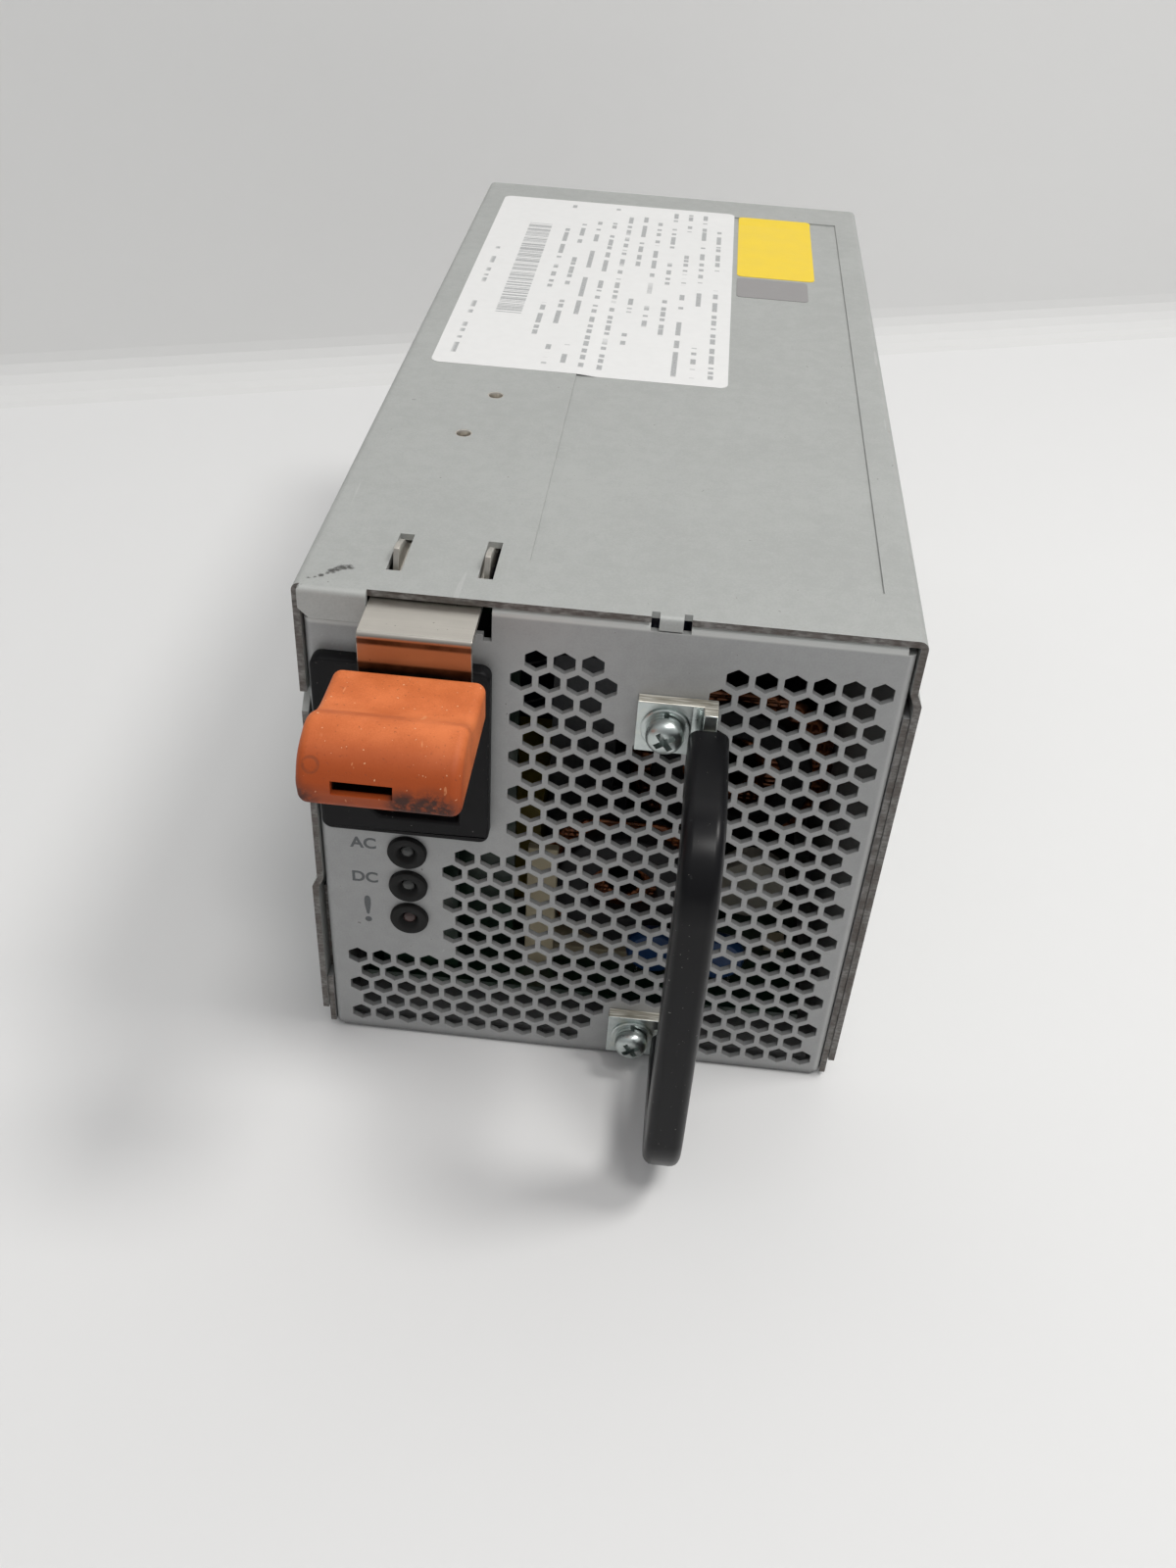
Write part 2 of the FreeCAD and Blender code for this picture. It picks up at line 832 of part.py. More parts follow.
def make_front_panel():
    """Front panel: vented plate with a flange bent back along each side."""
    left, right, top = panel_left.value, panel_right.value, panel_top.value
    bend, sill = folded.value, s.latch_sill.value
    notch = s.latch_notch_right.value
    slit = notch - s.latch_slit.value
    slit_foot = sill - s.latch_slit_depth.value
    corners = [(left + bend, bend), (right - bend, bend), (right - bend, top - bend),
               (notch, top - bend), (notch, slit_foot), (slit, slit_foot), (slit, sill),
               (left + bend, sill)]
    points = [Vector(x, 0, z) for x, z in corners]
    outline = Part.makePolygon(points + points[:1])

    holes = vent_holes()
    half_width = (s.inlet_body_width / 2 + s.fit_gap).value
    half_height = (s.inlet_body_height / 2 + s.fit_gap).value
    x, z = inlet_x.value, inlet_z.value
    opening = [Vector(x + side * half_width, 0, z + level * half_height)
               for side, level in ((-1, -1), (-1, 1), (1, 1), (1, -1), (-1, -1))]
    holes.append(Part.makePolygon(opening))
    rounds = [(s.lamp_x, height, s.bezel_body_radius) for height in lamp_heights]
    rounds += [(s.screw_x, height, s.screw_radius) for height in screw_heights]
    sides = int(s.small_sides.value)
    holes += [face_hole(x.value, z.value, radius.value, sides) for x, z, radius in rounds]
    plate = Part.Face([outline] + holes).extrude(Vector(0, s.sheet.value, 0))

    relief = s.tab_relief.value
    tab_left = s.tab_left.value - relief
    tab_right = (s.tab_left + s.tab_width).value + relief
    folds = [
        fold(left + bend, right - bend, lambda back, inward, along: Vector(along, back, inward)),
        fold(notch, tab_left, lambda back, inward, along: Vector(along, back, top - inward)),
        fold(tab_right, right - bend, lambda back, inward, along: Vector(along, back, top - inward)),
        fold(bend, sill, lambda back, inward, along: Vector(left + inward, back, along)),
        fold(bend, top - bend, lambda back, inward, along: Vector(right - inward, back, along)),
    ]
    keep(feature(plate.multiFuse(folds), "Front_panel"), "front_panel")


def make_rear_panel():
    """Rear panel: fan guard slots, connector opening and flanges into the case."""
    body = new_body("rear")
    face = sketch(body, "XZ_Plane", rear_face - s.sheet)
    width = panel_right - panel_left
    rectangle(face, panel_left, s.sheet, width, panel_top - s.sheet)
    pad(body, face, s.sheet)
    frame = sketch(body, "XZ_Plane", rear_face - s.flange)
    rectangle(frame, panel_left, s.sheet, width, panel_top - s.sheet)
    rectangle(frame, panel_left + s.sheet, 2 * s.sheet, width - 2 * s.sheet,
              panel_top - 3 * s.sheet)
    pad(body, frame, s.flange - s.sheet)

    vents = sketch(body, "XZ_Plane", rear_face - s.sheet)
    count = int(s.guard_slots.value)
    pitch = s.guard_slot + s.guard_bar
    limit = (s.fan_duct_radius - s.guard_bar).value
    for number in range(count):
        offset = pitch * (number - (count - 1) / 2)
        edge = abs(offset.value) + s.guard_slot.value / 2
        if edge >= limit:
            continue
        reach = size(math.sqrt(limit ** 2 - edge ** 2))
        left = fan_x + offset - s.guard_slot / 2
        half = s.guard_bar / 2
        if reach.value > 2 * half.value:
            rectangle(vents, left, fan_z + half, s.guard_slot, reach - half)
            rectangle(vents, left, fan_z - reach, s.guard_slot, reach - half)
    gap = s.connector_side_gap
    rectangle(vents, s.connector_left - gap, board_top - gap, s.connector_width + 2 * gap,
              s.connector_height + 2 * gap)
    pocket(body, vents, 2 * s.sheet)
    holes = [bar(x, rear_face - s.sheet, z, s.fan_hole_radius, s.sheet, "Y")
             for x, z in fan_hole_places]
    keep(cut(body, *holes), "rear_panel")


# ---------------------------------------------------------------- mains inlet and lamps

def make_inlet():
    """Three pin appliance inlet, standing upright, snapped into the panel."""
    body = new_body("inlet")
    front = sketch(body, "XZ_Plane", -s.inlet_proud)
    rectangle(front, s.inlet_left, s.inlet_foot, s.inlet_width, s.inlet_height)
    base = pad(body, front, s.inlet_proud)
    soften(body, base, s.inlet_corner, lambda a, b: near(a.x, b.x) and near(a.z, b.z))

    rear = sketch(body, "XZ_Plane")
    rectangle(rear, inlet_x - s.inlet_body_width / 2, inlet_z - s.inlet_body_height / 2,
              s.inlet_body_width, s.inlet_body_height)
    pad(body, rear, s.inlet_body_depth)

    left = inlet_x - s.socket_width / 2
    foot = inlet_z - s.socket_height / 2
    right = left + s.socket_width
    top = foot + s.socket_height
    slope = s.socket_chamfer
    socket = sketch(body, "XZ_Plane", -s.inlet_proud)
    polygon(socket, [(left + slope, foot), (right, foot), (right, top), (left + slope, top),
                     (left, top - slope), (left, foot + slope)])
    pocket(body, socket, s.socket_depth)
    pins = group(*[inlet_pin(number) for number in range(3)])
    keep(cut(body, pins), "inlet_housing")
    keep(group(*[inlet_pin(number) for number in range(3)]), "inlet_pins")


def inlet_pin(number):
    """Live and neutral stand in one line, earth between them to one side."""
    side = -1 if number == 0 else 1
    level = (0, 1, -1)[number]
    start = s.pin_setback - s.inlet_proud
    return box(inlet_x + side * s.pin_offset - s.pin_width / 2, start,
               inlet_z + level * s.pin_spacing - s.pin_thickness / 2,
               s.pin_width, s.inlet_body_depth + s.pin_tail - start, s.pin_thickness)


def make_lamps():
    """Status lamps: bezels and lenses in the panel, and their board behind it."""
    bezels = []
    lenses = []
    diodes = []
    depth = s.sheet + s.bezel_depth
    board_y = s.sheet + s.lamp_board_gap
    for z in lamp_heights:
        flange = bar(s.lamp_x, -s.bezel_proud, z, s.bezel_radius, s.bezel_proud, "Y", s.large_sides)
        barrel = bar(s.lamp_x, 0, z, s.bezel_body_radius, depth, "Y")
        bore = bar(s.lamp_x, -s.bezel_proud, z, s.lens_radius, s.bezel_proud + depth, "Y")
        bezels.append(cut(fuse(flange, barrel), bore))
        lens_start = s.lens_setback - s.bezel_proud
        lenses.append(bar(s.lamp_x, lens_start, z, s.lens_radius, depth - lens_start, "Y"))
        half = s.lens_radius
        diodes.append(box(s.lamp_x - half, depth, z - half, 2 * half, board_y - depth, 2 * half))
    keep(group(*bezels), "lamp_bezels")
    keep(group(*lenses), "lamp_lenses")
    keep(group(*diodes), "lamp_diodes")
    top = s.lamp_low + s.lamp_pitch * 2 + s.bezel_radius
    keep(box(s.lamp_x - s.lamp_board_width / 2, board_y, board_top, s.lamp_board_width, s.board,
             top - board_top), "lamp_board")


# ---------------------------------------------------------------- handle

def handle_loop(depth, start, left, width):
    """The D shaped band of the handle, depth deep, from start out to the grip."""
    inset = (s.sleeve_depth.value - depth) / 2
    top = s.handle_top.value - inset
    foot = s.handle_foot.value + inset
    front = -s.handle_reach.value + inset
    high = s.handle_top_radius.value - inset
    low = s.handle_foot_radius.value - inset

    def contour(step):
        """Points and arc middles of the contour, step inside the outer one."""
        upper, lower = high - step, low - step
        lean = 1 - math.sqrt(0.5)
        y = front + step
        return [Vector(left, start, top - step), Vector(left, y + upper, top - step),
                Vector(left, y + upper * lean, top - step - upper * lean),
                Vector(left, y, top - step - upper), Vector(left, y, foot + step + lower),
                Vector(left, y + lower * lean, foot + step + lower * lean),
                Vector(left, y + lower, foot + step), Vector(left, start, foot + step)]

    edges = []
    for points in (contour(0), contour(depth)):
        edges += [
            Part.LineSegment(points[0], points[1]).toShape(),
            Part.Arc(points[1], points[2], points[3]).toShape(),
            Part.LineSegment(points[3], points[4]).toShape(),
            Part.Arc(points[4], points[5], points[6]).toShape(),
            Part.LineSegment(points[6], points[7]).toShape(),
        ]
    outer, inner = contour(0), contour(depth)
    edges.append(Part.LineSegment(outer[0], inner[0]).toShape())
    edges.append(Part.LineSegment(outer[7], inner[7]).toShape())
    outline = Part.Wire(Part.__sortEdges__(edges))
    return Part.Face(outline).extrude(Vector(width, 0, 0))


def make_handle():
    """Stamped D shaped handle: two ears screwed flat to the panel and a soft sleeve."""
    core = handle_loop(s.core_depth.value, -s.plate.value, s.handle_x.value, s.plate.value)
    parts = [feature(core, "Handle_core")]
    holes = []
    for z in screw_heights:
        foot = z - s.ear_height / 2
        parts.append(box(s.ear_left, -s.plate, foot, s.handle_x + s.plate - s.ear_left, s.plate,
                         s.ear_height))
        parts.append(box(s.handle_x, -s.ear_root, foot, s.plate, s.ear_root, s.ear_height))
        holes.append(bar(s.screw_x, -s.plate, z, s.screw_radius + s.screw_clearance, s.plate, "Y"))
    keep(cut(fuse(*parts), *holes), "handle_plate")

    left = s.handle_x + s.plate / 2 - s.sleeve_width / 2
    band = handle_loop(s.sleeve_depth.value, -s.sleeve_start.value, left.value, s.sleeve_width.value)
    right = left + s.sleeve_width

    def outside(vertex):
        return (near(vertex.Z, s.handle_top) or near(vertex.Z, s.handle_foot)
                or near(vertex.Y, -s.handle_reach))

    rims = [edge for edge in band.Edges
            if any(all(near(vertex.X, side) for vertex in edge.Vertexes) for side in (left, right))
            and all(outside(vertex) for vertex in edge.Vertexes)]
    sleeve = band.makeChamfer(s.sleeve_round.value, rims)
    keep(cut(feature(sleeve, "Sleeve_band"), feature(core, "Sleeve_core")), "handle_sleeve")


def make_handle_fasteners():
    """For each ear: a pan head screw with a split and a flat washer, and a clinch nut."""
    screws = []
    flats = []
    springs = []
    nuts = []
    flat_front = -s.plate - s.washer
    spring_front = flat_front - s.spring_washer
    head_front = spring_front - s.screw_head
    for z in screw_heights:
        head = bar(s.screw_x, head_front, z, s.screw_head_radius, s.screw_head, "Y", s.large_sides)
        shank = bar(s.screw_x, spring_front, z, s.screw_radius, s.screw_length, "Y")
        screws.append(fuse(head, shank))
        flats.append(ring(s.screw_x, flat_front, z, s.washer_radius,
                          s.screw_radius, s.washer, "Y"))
        split = box(s.screw_x - s.spring_washer_gap / 2, spring_front, z, s.spring_washer_gap,
                    s.spring_washer, s.spring_washer_radius + s.spring_washer)
        whole = ring(s.screw_x, spring_front, z, s.spring_washer_radius,
                     s.screw_radius, s.spring_washer, "Y")
        springs.append(cut(whole, split))
        nut = bar(s.screw_x, s.sheet, z, s.nut_width / math.sqrt(3), s.nut, "Y", 6)
        nuts.append(cut(nut, bar(s.screw_x, s.sheet, z, s.screw_radius, s.nut, "Y")))
    keep(group(*screws), "handle_screws")
    keep(group(*flats), "flat_washers")
    keep(group(*springs), "spring_washers")
    keep(group(*nuts), "handle_nuts")


# ---------------------------------------------------------------- release latch

def latch_hook(left):
    """A stop hook bent up from the leaf: ramp to the rear, stop face to the front."""
    front, crest = s.hook_front, s.case_height + s.hook_rise
    peak = front + s.hook_lean
    rear = front + s.hook_length
    ramp = peak + s.hook_crest
    outline = [(front, leaf_foot), (front, leaf_top), (peak, crest), (ramp, crest),
               ((ramp + rear) / 2, crest - (crest - leaf_top) / 4), (rear, leaf_top),
               (rear, leaf_foot)]
    return feature(prism(outline, "X", left, s.leaf), "Hook")


def make_latch():
    """Spring leaf: its riveted root, and the arm that carries the hooks and the grip."""
    rear = s.latch_pivot - s.hinge_gap / 2
    wide_left = s.lip_width + s.leaf_lip_gap
    wide = leaf_right - wide_left
    arm = fuse(
        box(s.leaf_left, s.leaf_shoulder, leaf_foot, s.leaf_width, rear - s.leaf_shoulder, s.leaf),
        box(wide_left, -s.leaf_reach, leaf_foot, wide, s.leaf_reach + s.leaf_shoulder, s.leaf),
        box(wide_left, -s.leaf_reach, tongue_foot, wide, s.leaf, leaf_top - tongue_foot),
        box(s.tongue_left, -s.leaf_reach - s.leaf_tongue, tongue_foot, s.tongue_width,
            s.leaf_tongue + s.leaf, s.leaf),
        *[latch_hook(left) for left in hook_lefts])
    keep(rounded(arm, s.leaf_bend, lambda a, b: (
        near(a.z, leaf_top) and near(b.z, leaf_top)
        and near(a.y, -s.leaf_reach) and near(b.y, -s.leaf_reach))), "latch_arm")

    front = s.latch_pivot + s.hinge_gap / 2
    step = front + s.root_step
    root = fuse(
        box(s.leaf_left, front, leaf_foot, s.leaf_width, s.latch_root_end - front, s.leaf),
        box(s.leaf_left, step, leaf_top, s.leaf_width, s.latch_root_end - step, s.leaf_gap))
    bores = [bar(x, y, leaf_foot, s.rivet_radius, s.leaf + s.leaf_gap) for x, y in rivet_places]
    keep(cut(root, *bores), "latch_root")
    keep(group(*[ring(x, y, leaf_foot, s.rivet_radius, s.rivet_bore, s.case_height - leaf_foot)
                 for x, y in rivet_places]), "latch_rivets")


def grip_outline():
    """Side view of the grip: flat back, raised brow, rounded front and chin."""
    back = -(s.leaf_reach + s.grip_back_gap).value
    front, top, foot = -s.grip_front.value, s.grip_top.value, s.grip_floor.value
    crest = top + s.grip_crest.value
    brow = back - s.grip_crest_back.value
    peak = brow - s.grip_crest_run.value
    rise = s.grip_crest.value
    cheek = foot + s.grip_chin.value
    chin = s.grip_brow.value

    def at(y, z):
        return Vector(s.grip_left.value, y, z)

    corners = [at(back, foot), at(back, top), at(brow, top + rise * 0.2), at(peak, crest),
               at(front, cheek), at(front + chin, foot)]
    hollow = at((brow + peak) / 2, top + rise * 0.55)
    nose = at(front + (peak - front) * 0.3, crest - (crest - cheek) * 0.3)
    jaw = at(front + chin * 0.25, foot + (cheek - foot) * 0.3)
    return Part.Wire([
        Part.LineSegment(corners[0], corners[1]).toShape(),
        Part.LineSegment(corners[1], corners[2]).toShape(),
        Part.Arc(corners[2], hollow, corners[3]).toShape(),
        Part.Arc(corners[3], nose, corners[4]).toShape(),
        Part.Arc(corners[4], jaw, corners[5]).toShape(),
        Part.LineSegment(corners[5], corners[0]).toShape(),
    ])


def make_grip():
    """Moulded grip pushed over the leaf's tongue, with the window of its snap."""
    block = Part.Face(grip_outline()).extrude(Vector(s.grip_width.value, 0, 0))
    body = feature(block, "Grip_block")
    fit = s.tongue_fit
    back = -s.leaf_reach - s.grip_back_gap
    length = s.leaf_tongue - s.grip_back_gap + fit
    sleeve = box(s.tongue_left - fit, back - length, tongue_foot - fit, s.tongue_width + 2 * fit,
                 length, s.leaf + 2 * fit)
    window = box(s.window_left, -s.grip_front, s.window_low, s.window_width,
                 s.grip_front + back - length + s.leaf, s.window_height)
    keep(cut(body, sleeve, window), "latch_grip")


# ---------------------------------------------------------------- boards and supports

def make_boards():
    """Main board on snap supports above an insulating sheet."""
    supports = []
    holes = []
    ports = []
    for x, y in support_places:
        neck = s.support_neck
        cap = s.support_cap
        supports.append(fuse(
            bar(x, y, s.sheet, s.standoff_radius, s.standoff, "Z", 6),
            box(x - neck / 2, y - neck / 2, board_foot, neck, neck, s.board),
            box(x - cap / 2, y - cap / 2, board_top, cap, cap, s.support_cap_height)))
        holes.append(box(x - neck / 2, y - neck / 2, board_foot, neck, neck, s.board))
        ports.append(bar(x, y, s.sheet, s.standoff_radius, s.insulation, "Z", 6))
    keep(group(*supports), "board_supports")
    board = box(s.board_left, s.board_front, board_foot, s.board_width, s.board_length, s.board)
    keep(cut(board, *holes), "main_board")
    margin = s.insulation_margin
    front = s.flange + s.tongue_reach + margin
    sheet = box(panel_left + margin, front, s.sheet, panel_right - panel_left - 2 * margin,
                rear_face - s.flange - margin - front, s.insulation)
    keep(cut(sheet, *ports), "insulating_sheet")


def make_filter():
    """Mains filter: inlet board, capacitors, common mode choke and fuse."""
    board = box(s.inlet_board_left, s.inlet_body_depth, board_top, s.inlet_board_width, s.board,
                inlet_z + s.inlet_height / 2 - board_top)
    keep(cut(board, *[inlet_pin(number) for number in range(3)]), "inlet_board")

    discs = []
    for number in range(2):
        x = s.blue_cap_x + s.blue_cap_pitch * number
        middle = s.blue_cap_y + s.blue_cap_thickness / 2
        z = board_top + s.blue_cap_lift + s.blue_cap_radius
        disc = bar(x, s.blue_cap_y, z, s.blue_cap_radius, s.blue_cap_thickness, "Y", s.large_sides)
        legs = [box(x + side * s.lead_spacing / 2 - s.lead / 2, middle - s.lead / 2, board_top,
                    s.lead, s.lead, z - board_top) for side in (-1, 1)]
        discs.append(fuse(disc, *legs))
    keep(group(*discs), "blue_capacitors")
    keep(group(*[box(s.film_x + s.film_pitch * number, s.film_y, board_top, s.film_width,
                     s.film_length, s.film_height) for number in range(2)]), "film_capacitors")

    x, y, radius = s.filter_choke_x, s.filter_choke_y, s.filter_choke_radius
    z = board_top + s.bobbin_wall + radius + s.choke_winding
    depth = s.filter_choke_thickness
    sides = s.large_sides
    keep(ring(x, y, z, radius, s.filter_choke_bore, depth, "Y", sides), "filter_choke_core")
    coil = ring(x, y - s.choke_winding, z, radius + s.choke_winding,
                s.filter_choke_bore - s.choke_winding, depth + 2 * s.choke_winding, "Y", sides)
    core = bar(x, y, z, radius, depth, "Y", sides)
    bore = bar(x, y, z, s.filter_choke_bore, depth, "Y", sides)
    reach = radius + 2 * s.choke_winding
    divider = box(x - s.choke_divider / 2, y - s.choke_winding, z - reach, s.choke_divider,
                  depth + 2 * s.choke_winding, 2 * reach)
    keep(cut(cut(coil, cut(core, bore)), divider), "filter_choke_coils")
    foot = box(s.bobbin_left, y - s.choke_winding, board_top, x + radius - s.bobbin_left,
               depth + 2 * s.choke_winding, s.bobbin_wall)
    toe = box(s.bobbin_left, s.bobbin_front, board_top, s.bobbin_bar,
              y - s.choke_winding - s.bobbin_front, s.bobbin_wall)
    post = box(s.bobbin_left, s.bobbin_front, board_top, s.bobbin_bar, s.bobbin_wall,
               s.bobbin_top - board_top)
    keep(fuse(foot, toe, post), "filter_choke_base")

    z = board_top + s.fuse_lift
    keep(bar(s.fuse_x, s.fuse_y, z, s.fuse_radius, s.fuse_length, "X"), "fuse")
    clips = []
    for start in (s.fuse_x, s.fuse_x + s.fuse_length - s.fuse_clip):
        block = box(start, s.fuse_y - s.fuse_radius - s.lead, board_top, s.fuse_clip,
                    2 * (s.fuse_radius + s.lead), s.fuse_lift)
        clips.append(cut(block, bar(start, s.fuse_y, z, s.fuse_radius, s.fuse_clip, "X")))
    keep(group(*clips), "fuse_clips")
    keep(box(s.relay_x, s.relay_y, board_top, s.relay_width, s.relay_length, s.relay_height),
         "inrush_relay")
    keep(bar(s.thermistor_x, s.thermistor_y, board_top + s.thermistor_radius,
             s.thermistor_radius, s.thermistor_thickness, "Y", sides), "thermistor")


# ---------------------------------------------------------------- power stage

def finned_sink(x, front, length, height, side):
    """An upright extrusion: a plate along Y with fins standing out to one side."""
    plate = box(x, front, board_top, s.sink_plate, length, height)
    fins = []
    count = int(height.value / s.sink_fin_pitch.value)
    for number in range(count):
        level = board_top + s.sink_fin_pitch * (number + 0.5)
        start = x + s.sink_plate if side > 0 else x - s.sink_fin
        fins.append(box(start, front, level, s.sink_fin, length, s.sink_fin_thickness))
    return fuse(plate, *fins)


def make_power_stage():
    """Rectifier, boost choke, bulk capacitors, transistors, transformers and outputs."""
    keep(box(s.bridge_sink_x, s.bridge_sink_y, board_top, s.bridge_sink_width,
             s.bridge_sink_plate, s.bridge_sink_height), "bridge_sink")
    keep(box(s.bridge_sink_x + (s.bridge_sink_width - s.bridge_width) / 2,
             s.bridge_sink_y + s.bridge_sink_plate, board_top + s.lead_spacing, s.bridge_width,
             s.bridge_thickness, s.bridge_height), "bridge_rectifier")

    copper = s.boost_copper
    z = board_top + s.boost_radius
    keep(ring(s.boost_x, s.boost_y + copper, z, s.boost_radius - copper, s.boost_bore + copper,
              s.boost_width - 2 * copper, "Y", s.large_sides), "boost_core")
    shell = ring(s.boost_x, s.boost_y, z, s.boost_radius, s.boost_bore, s.boost_width, "Y",
                 s.large_sides)
    space = ring(s.boost_x, s.boost_y + copper, z, s.boost_radius - copper,
                 s.boost_bore + copper, s.boost_width - 2 * copper, "Y", s.large_sides)
    opening = box(s.boost_x - s.boost_gap_width / 2, s.boost_y, z, s.boost_gap_width,
                  s.boost_width, s.boost_radius + copper)
    keep(cut(cut(shell, space), opening), "boost_winding")

    keep(group(*[bar(s.bulk_x + s.bulk_pitch * number, s.bulk_y, board_top, s.bulk_radius,
                     s.bulk_height, "Z", s.large_sides) for number in range(2)]), "bulk_capacitors")
    keep(finned_sink(s.sink_x, s.sink_front, s.sink_length, s.sink_height, 1), "primary_sink")
    keep(group(*[box(s.sink_x - s.transistor_thickness,
                     s.sink_front + s.sink_length * (number + 0.5) / 3 - s.transistor_width / 2,
                     board_top + s.lead_spacing, s.transistor_thickness, s.transistor_width,
                     s.transistor_height) for number in range(3)]), "power_transistors")

    make_transformer()
    keep(box(s.standby_x, s.standby_y, board_top, s.standby_width, s.standby_length,
             s.standby_height), "standby_transformer")
    keep(finned_sink(s.rectifier_sink_x, s.rectifier_sink_front, s.rectifier_sink_length,
                     s.rectifier_sink_height, 1), "rectifier_sink")
    keep(group(*[box(s.rectifier_sink_x - s.transistor_thickness / 2,
                     s.rectifier_sink_front + s.rectifier_sink_length * (number + 0.5) / 2
                     - s.transistor_width / 2, board_top + s.lead_spacing,
                     s.transistor_thickness / 2, s.transistor_width, s.transistor_height)
                 for number in range(2)]), "output_rectifiers")
    keep(ring(s.output_choke_x, s.output_choke_y, board_top, s.output_choke_radius,
              s.output_choke_bore, s.output_choke_height), "output_choke")
    keep(group(*[bar(s.can_x + s.can_pitch * column, s.can_y + s.can_pitch * row, board_top,
                     s.can_radius, s.can_height) for column in range(3) for row in range(2)]),
         "output_capacitors")


def make_transformer():
    """Main transformer: a ferrite core of two E halves round a wound bobbin."""
    width, length, height, leg = s.core_width, s.core_length, s.core_height, s.core_leg
    outer = box(s.core_x, s.core_y + s.bobbin_overhang, board_top, width,
                length - 2 * s.bobbin_overhang, height)
    window = box(s.core_x + leg, s.core_y + s.bobbin_overhang, board_top + leg, width - 2 * leg,
                 length - 2 * s.bobbin_overhang, height - 2 * leg)
    keep(cut(outer, window), "transformer_core")
    keep(box(s.core_x + leg, s.core_y, board_top + leg, width - 2 * leg, length,
             height - 2 * leg), "transformer_winding")


def make_control():
    """Upright control board with its chips."""
    keep(box(s.control_x, s.control_front, board_top, s.board, s.control_length,
             s.control_height), "control_board")
    chips = []
    for number in range(3):
        middle = board_top + s.control_height * (number + 0.5) / 3
        chips.append(box(s.control_x - s.chip_thickness,
                         s.control_front + (s.control_length - s.chip_size) / 2,
                         middle - s.chip_size / 2, s.chip_thickness, s.chip_size, s.chip_size))
    keep(group(*chips), "control_chips")


def make_connector():
    """Blind mating output connector through the rear panel."""
    rear = rear_face + s.connector_proud
    housing = box(s.connector_left, connector_front, board_top, s.connector_width,
                  s.connector_depth, s.connector_height)
    pockets = []
    blades = []
    depth = s.blade_slot_depth
    for number in range(int(s.blade_slots.value)):
        left = s.connector_left + s.signal_wall + s.blade_slot_pitch * number
        foot = board_top + (s.connector_height - s.blade_slot_height) / 2
        pockets.append(box(left, rear - depth, foot, s.blade_slot_width, depth,
                           s.blade_slot_height))
        blades.append(box(left + (s.blade_slot_width - s.contact) / 2, rear - depth,
                          foot + s.contact, s.contact, depth - s.contact,
                          s.blade_slot_height - 2 * s.contact))
    shroud_left = s.connector_left + s.signal_wall + s.blade_slot_pitch * s.blade_slots
    shroud_width = s.signal_pitch * (s.signal_columns + 0.5)
    shroud_height = s.signal_pitch * s.signal_rows
    shroud_foot = board_top + (s.connector_height - shroud_height) / 2
    pockets.append(box(shroud_left, rear - depth, shroud_foot, shroud_width, depth,
                       shroud_height))
    pins = []
    for column in range(int(s.signal_columns.value)):
        for row in range(int(s.signal_rows.value)):
            pins.append(box(shroud_left + s.signal_pitch * (column + 0.75) - s.signal_pin / 2,
                            rear - depth,
                            shroud_foot + s.signal_pitch * (row + 0.5) - s.signal_pin / 2,
                            s.signal_pin, depth - s.contact, s.signal_pin))
    keep(cut(housing, *pockets), "connector_housing")
    keep(group(*blades), "power_contacts")
    keep(group(*pins), "signal_contacts")


# ---------------------------------------------------------------- fan

def make_fan_frame():
    """Fan frame: square body with a round duct, and the motor plate on four struts."""
    x, z, length = fan_x, fan_z, s.fan_size
    left, foot = x - length / 2, z - length / 2
    rear = fan_front + s.fan_depth
    block = box(left, fan_front, foot, length, s.fan_depth, length)
    block = rounded(block, s.fan_corner, lambda a, b: near(a.x, b.x) and near(a.z, b.z))
    duct = bar(x, fan_front, z, s.fan_duct_radius, s.fan_depth, "Y", s.duct_sides)
    holes = [bar(hole_x, rear - s.fan_hole_depth, hole_z, s.fan_hole_radius, s.fan_hole_depth, "Y")
             for hole_x, hole_z in fan_hole_places]
    plate_front = rear - s.fan_motor_depth
    plate = bar(x, plate_front, z, s.fan_motor_radius, s.fan_motor_depth, "Y", s.large_sides)
    reach = s.fan_duct_radius + s.fan_strut / 4
    width = s.fan_strut
    struts = [box(x - reach, plate_front, z - width / 2, 2 * reach, s.fan_motor_depth, width),
              box(x - width / 2, plate_front, z - reach, width, s.fan_motor_depth, 2 * reach)]
    length = s.bush_length + s.fan_motor_depth
    seat = bar(x, plate_front - s.bush_length, z, s.bush_radius, length, "Y")
    keep(cut(fuse(cut(block, duct, *holes), plate, *struts), seat), "fan_frame")
    bush = bar(x, plate_front - s.bush_length, z, s.bush_radius, length, "Y")
    bore = rod(x, plate_front - s.bush_length, z, s.shaft_radius + s.bush_gap, length, "Y")
    keep(cut(bush, bore), "fan_bush")

    start = plate_front - s.stator_length
    arm, reach = s.stator_width, s.stator_reach
    poles = fuse(box(x - reach, start, z - arm / 2, 2 * reach, s.stator_length, arm),
                 box(x - arm / 2, start, z - reach, arm, s.stator_length, 2 * reach))
    keep(cut(poles, bar(x, start, z, s.bush_radius, s.stator_length, "Y")), "fan_stator")


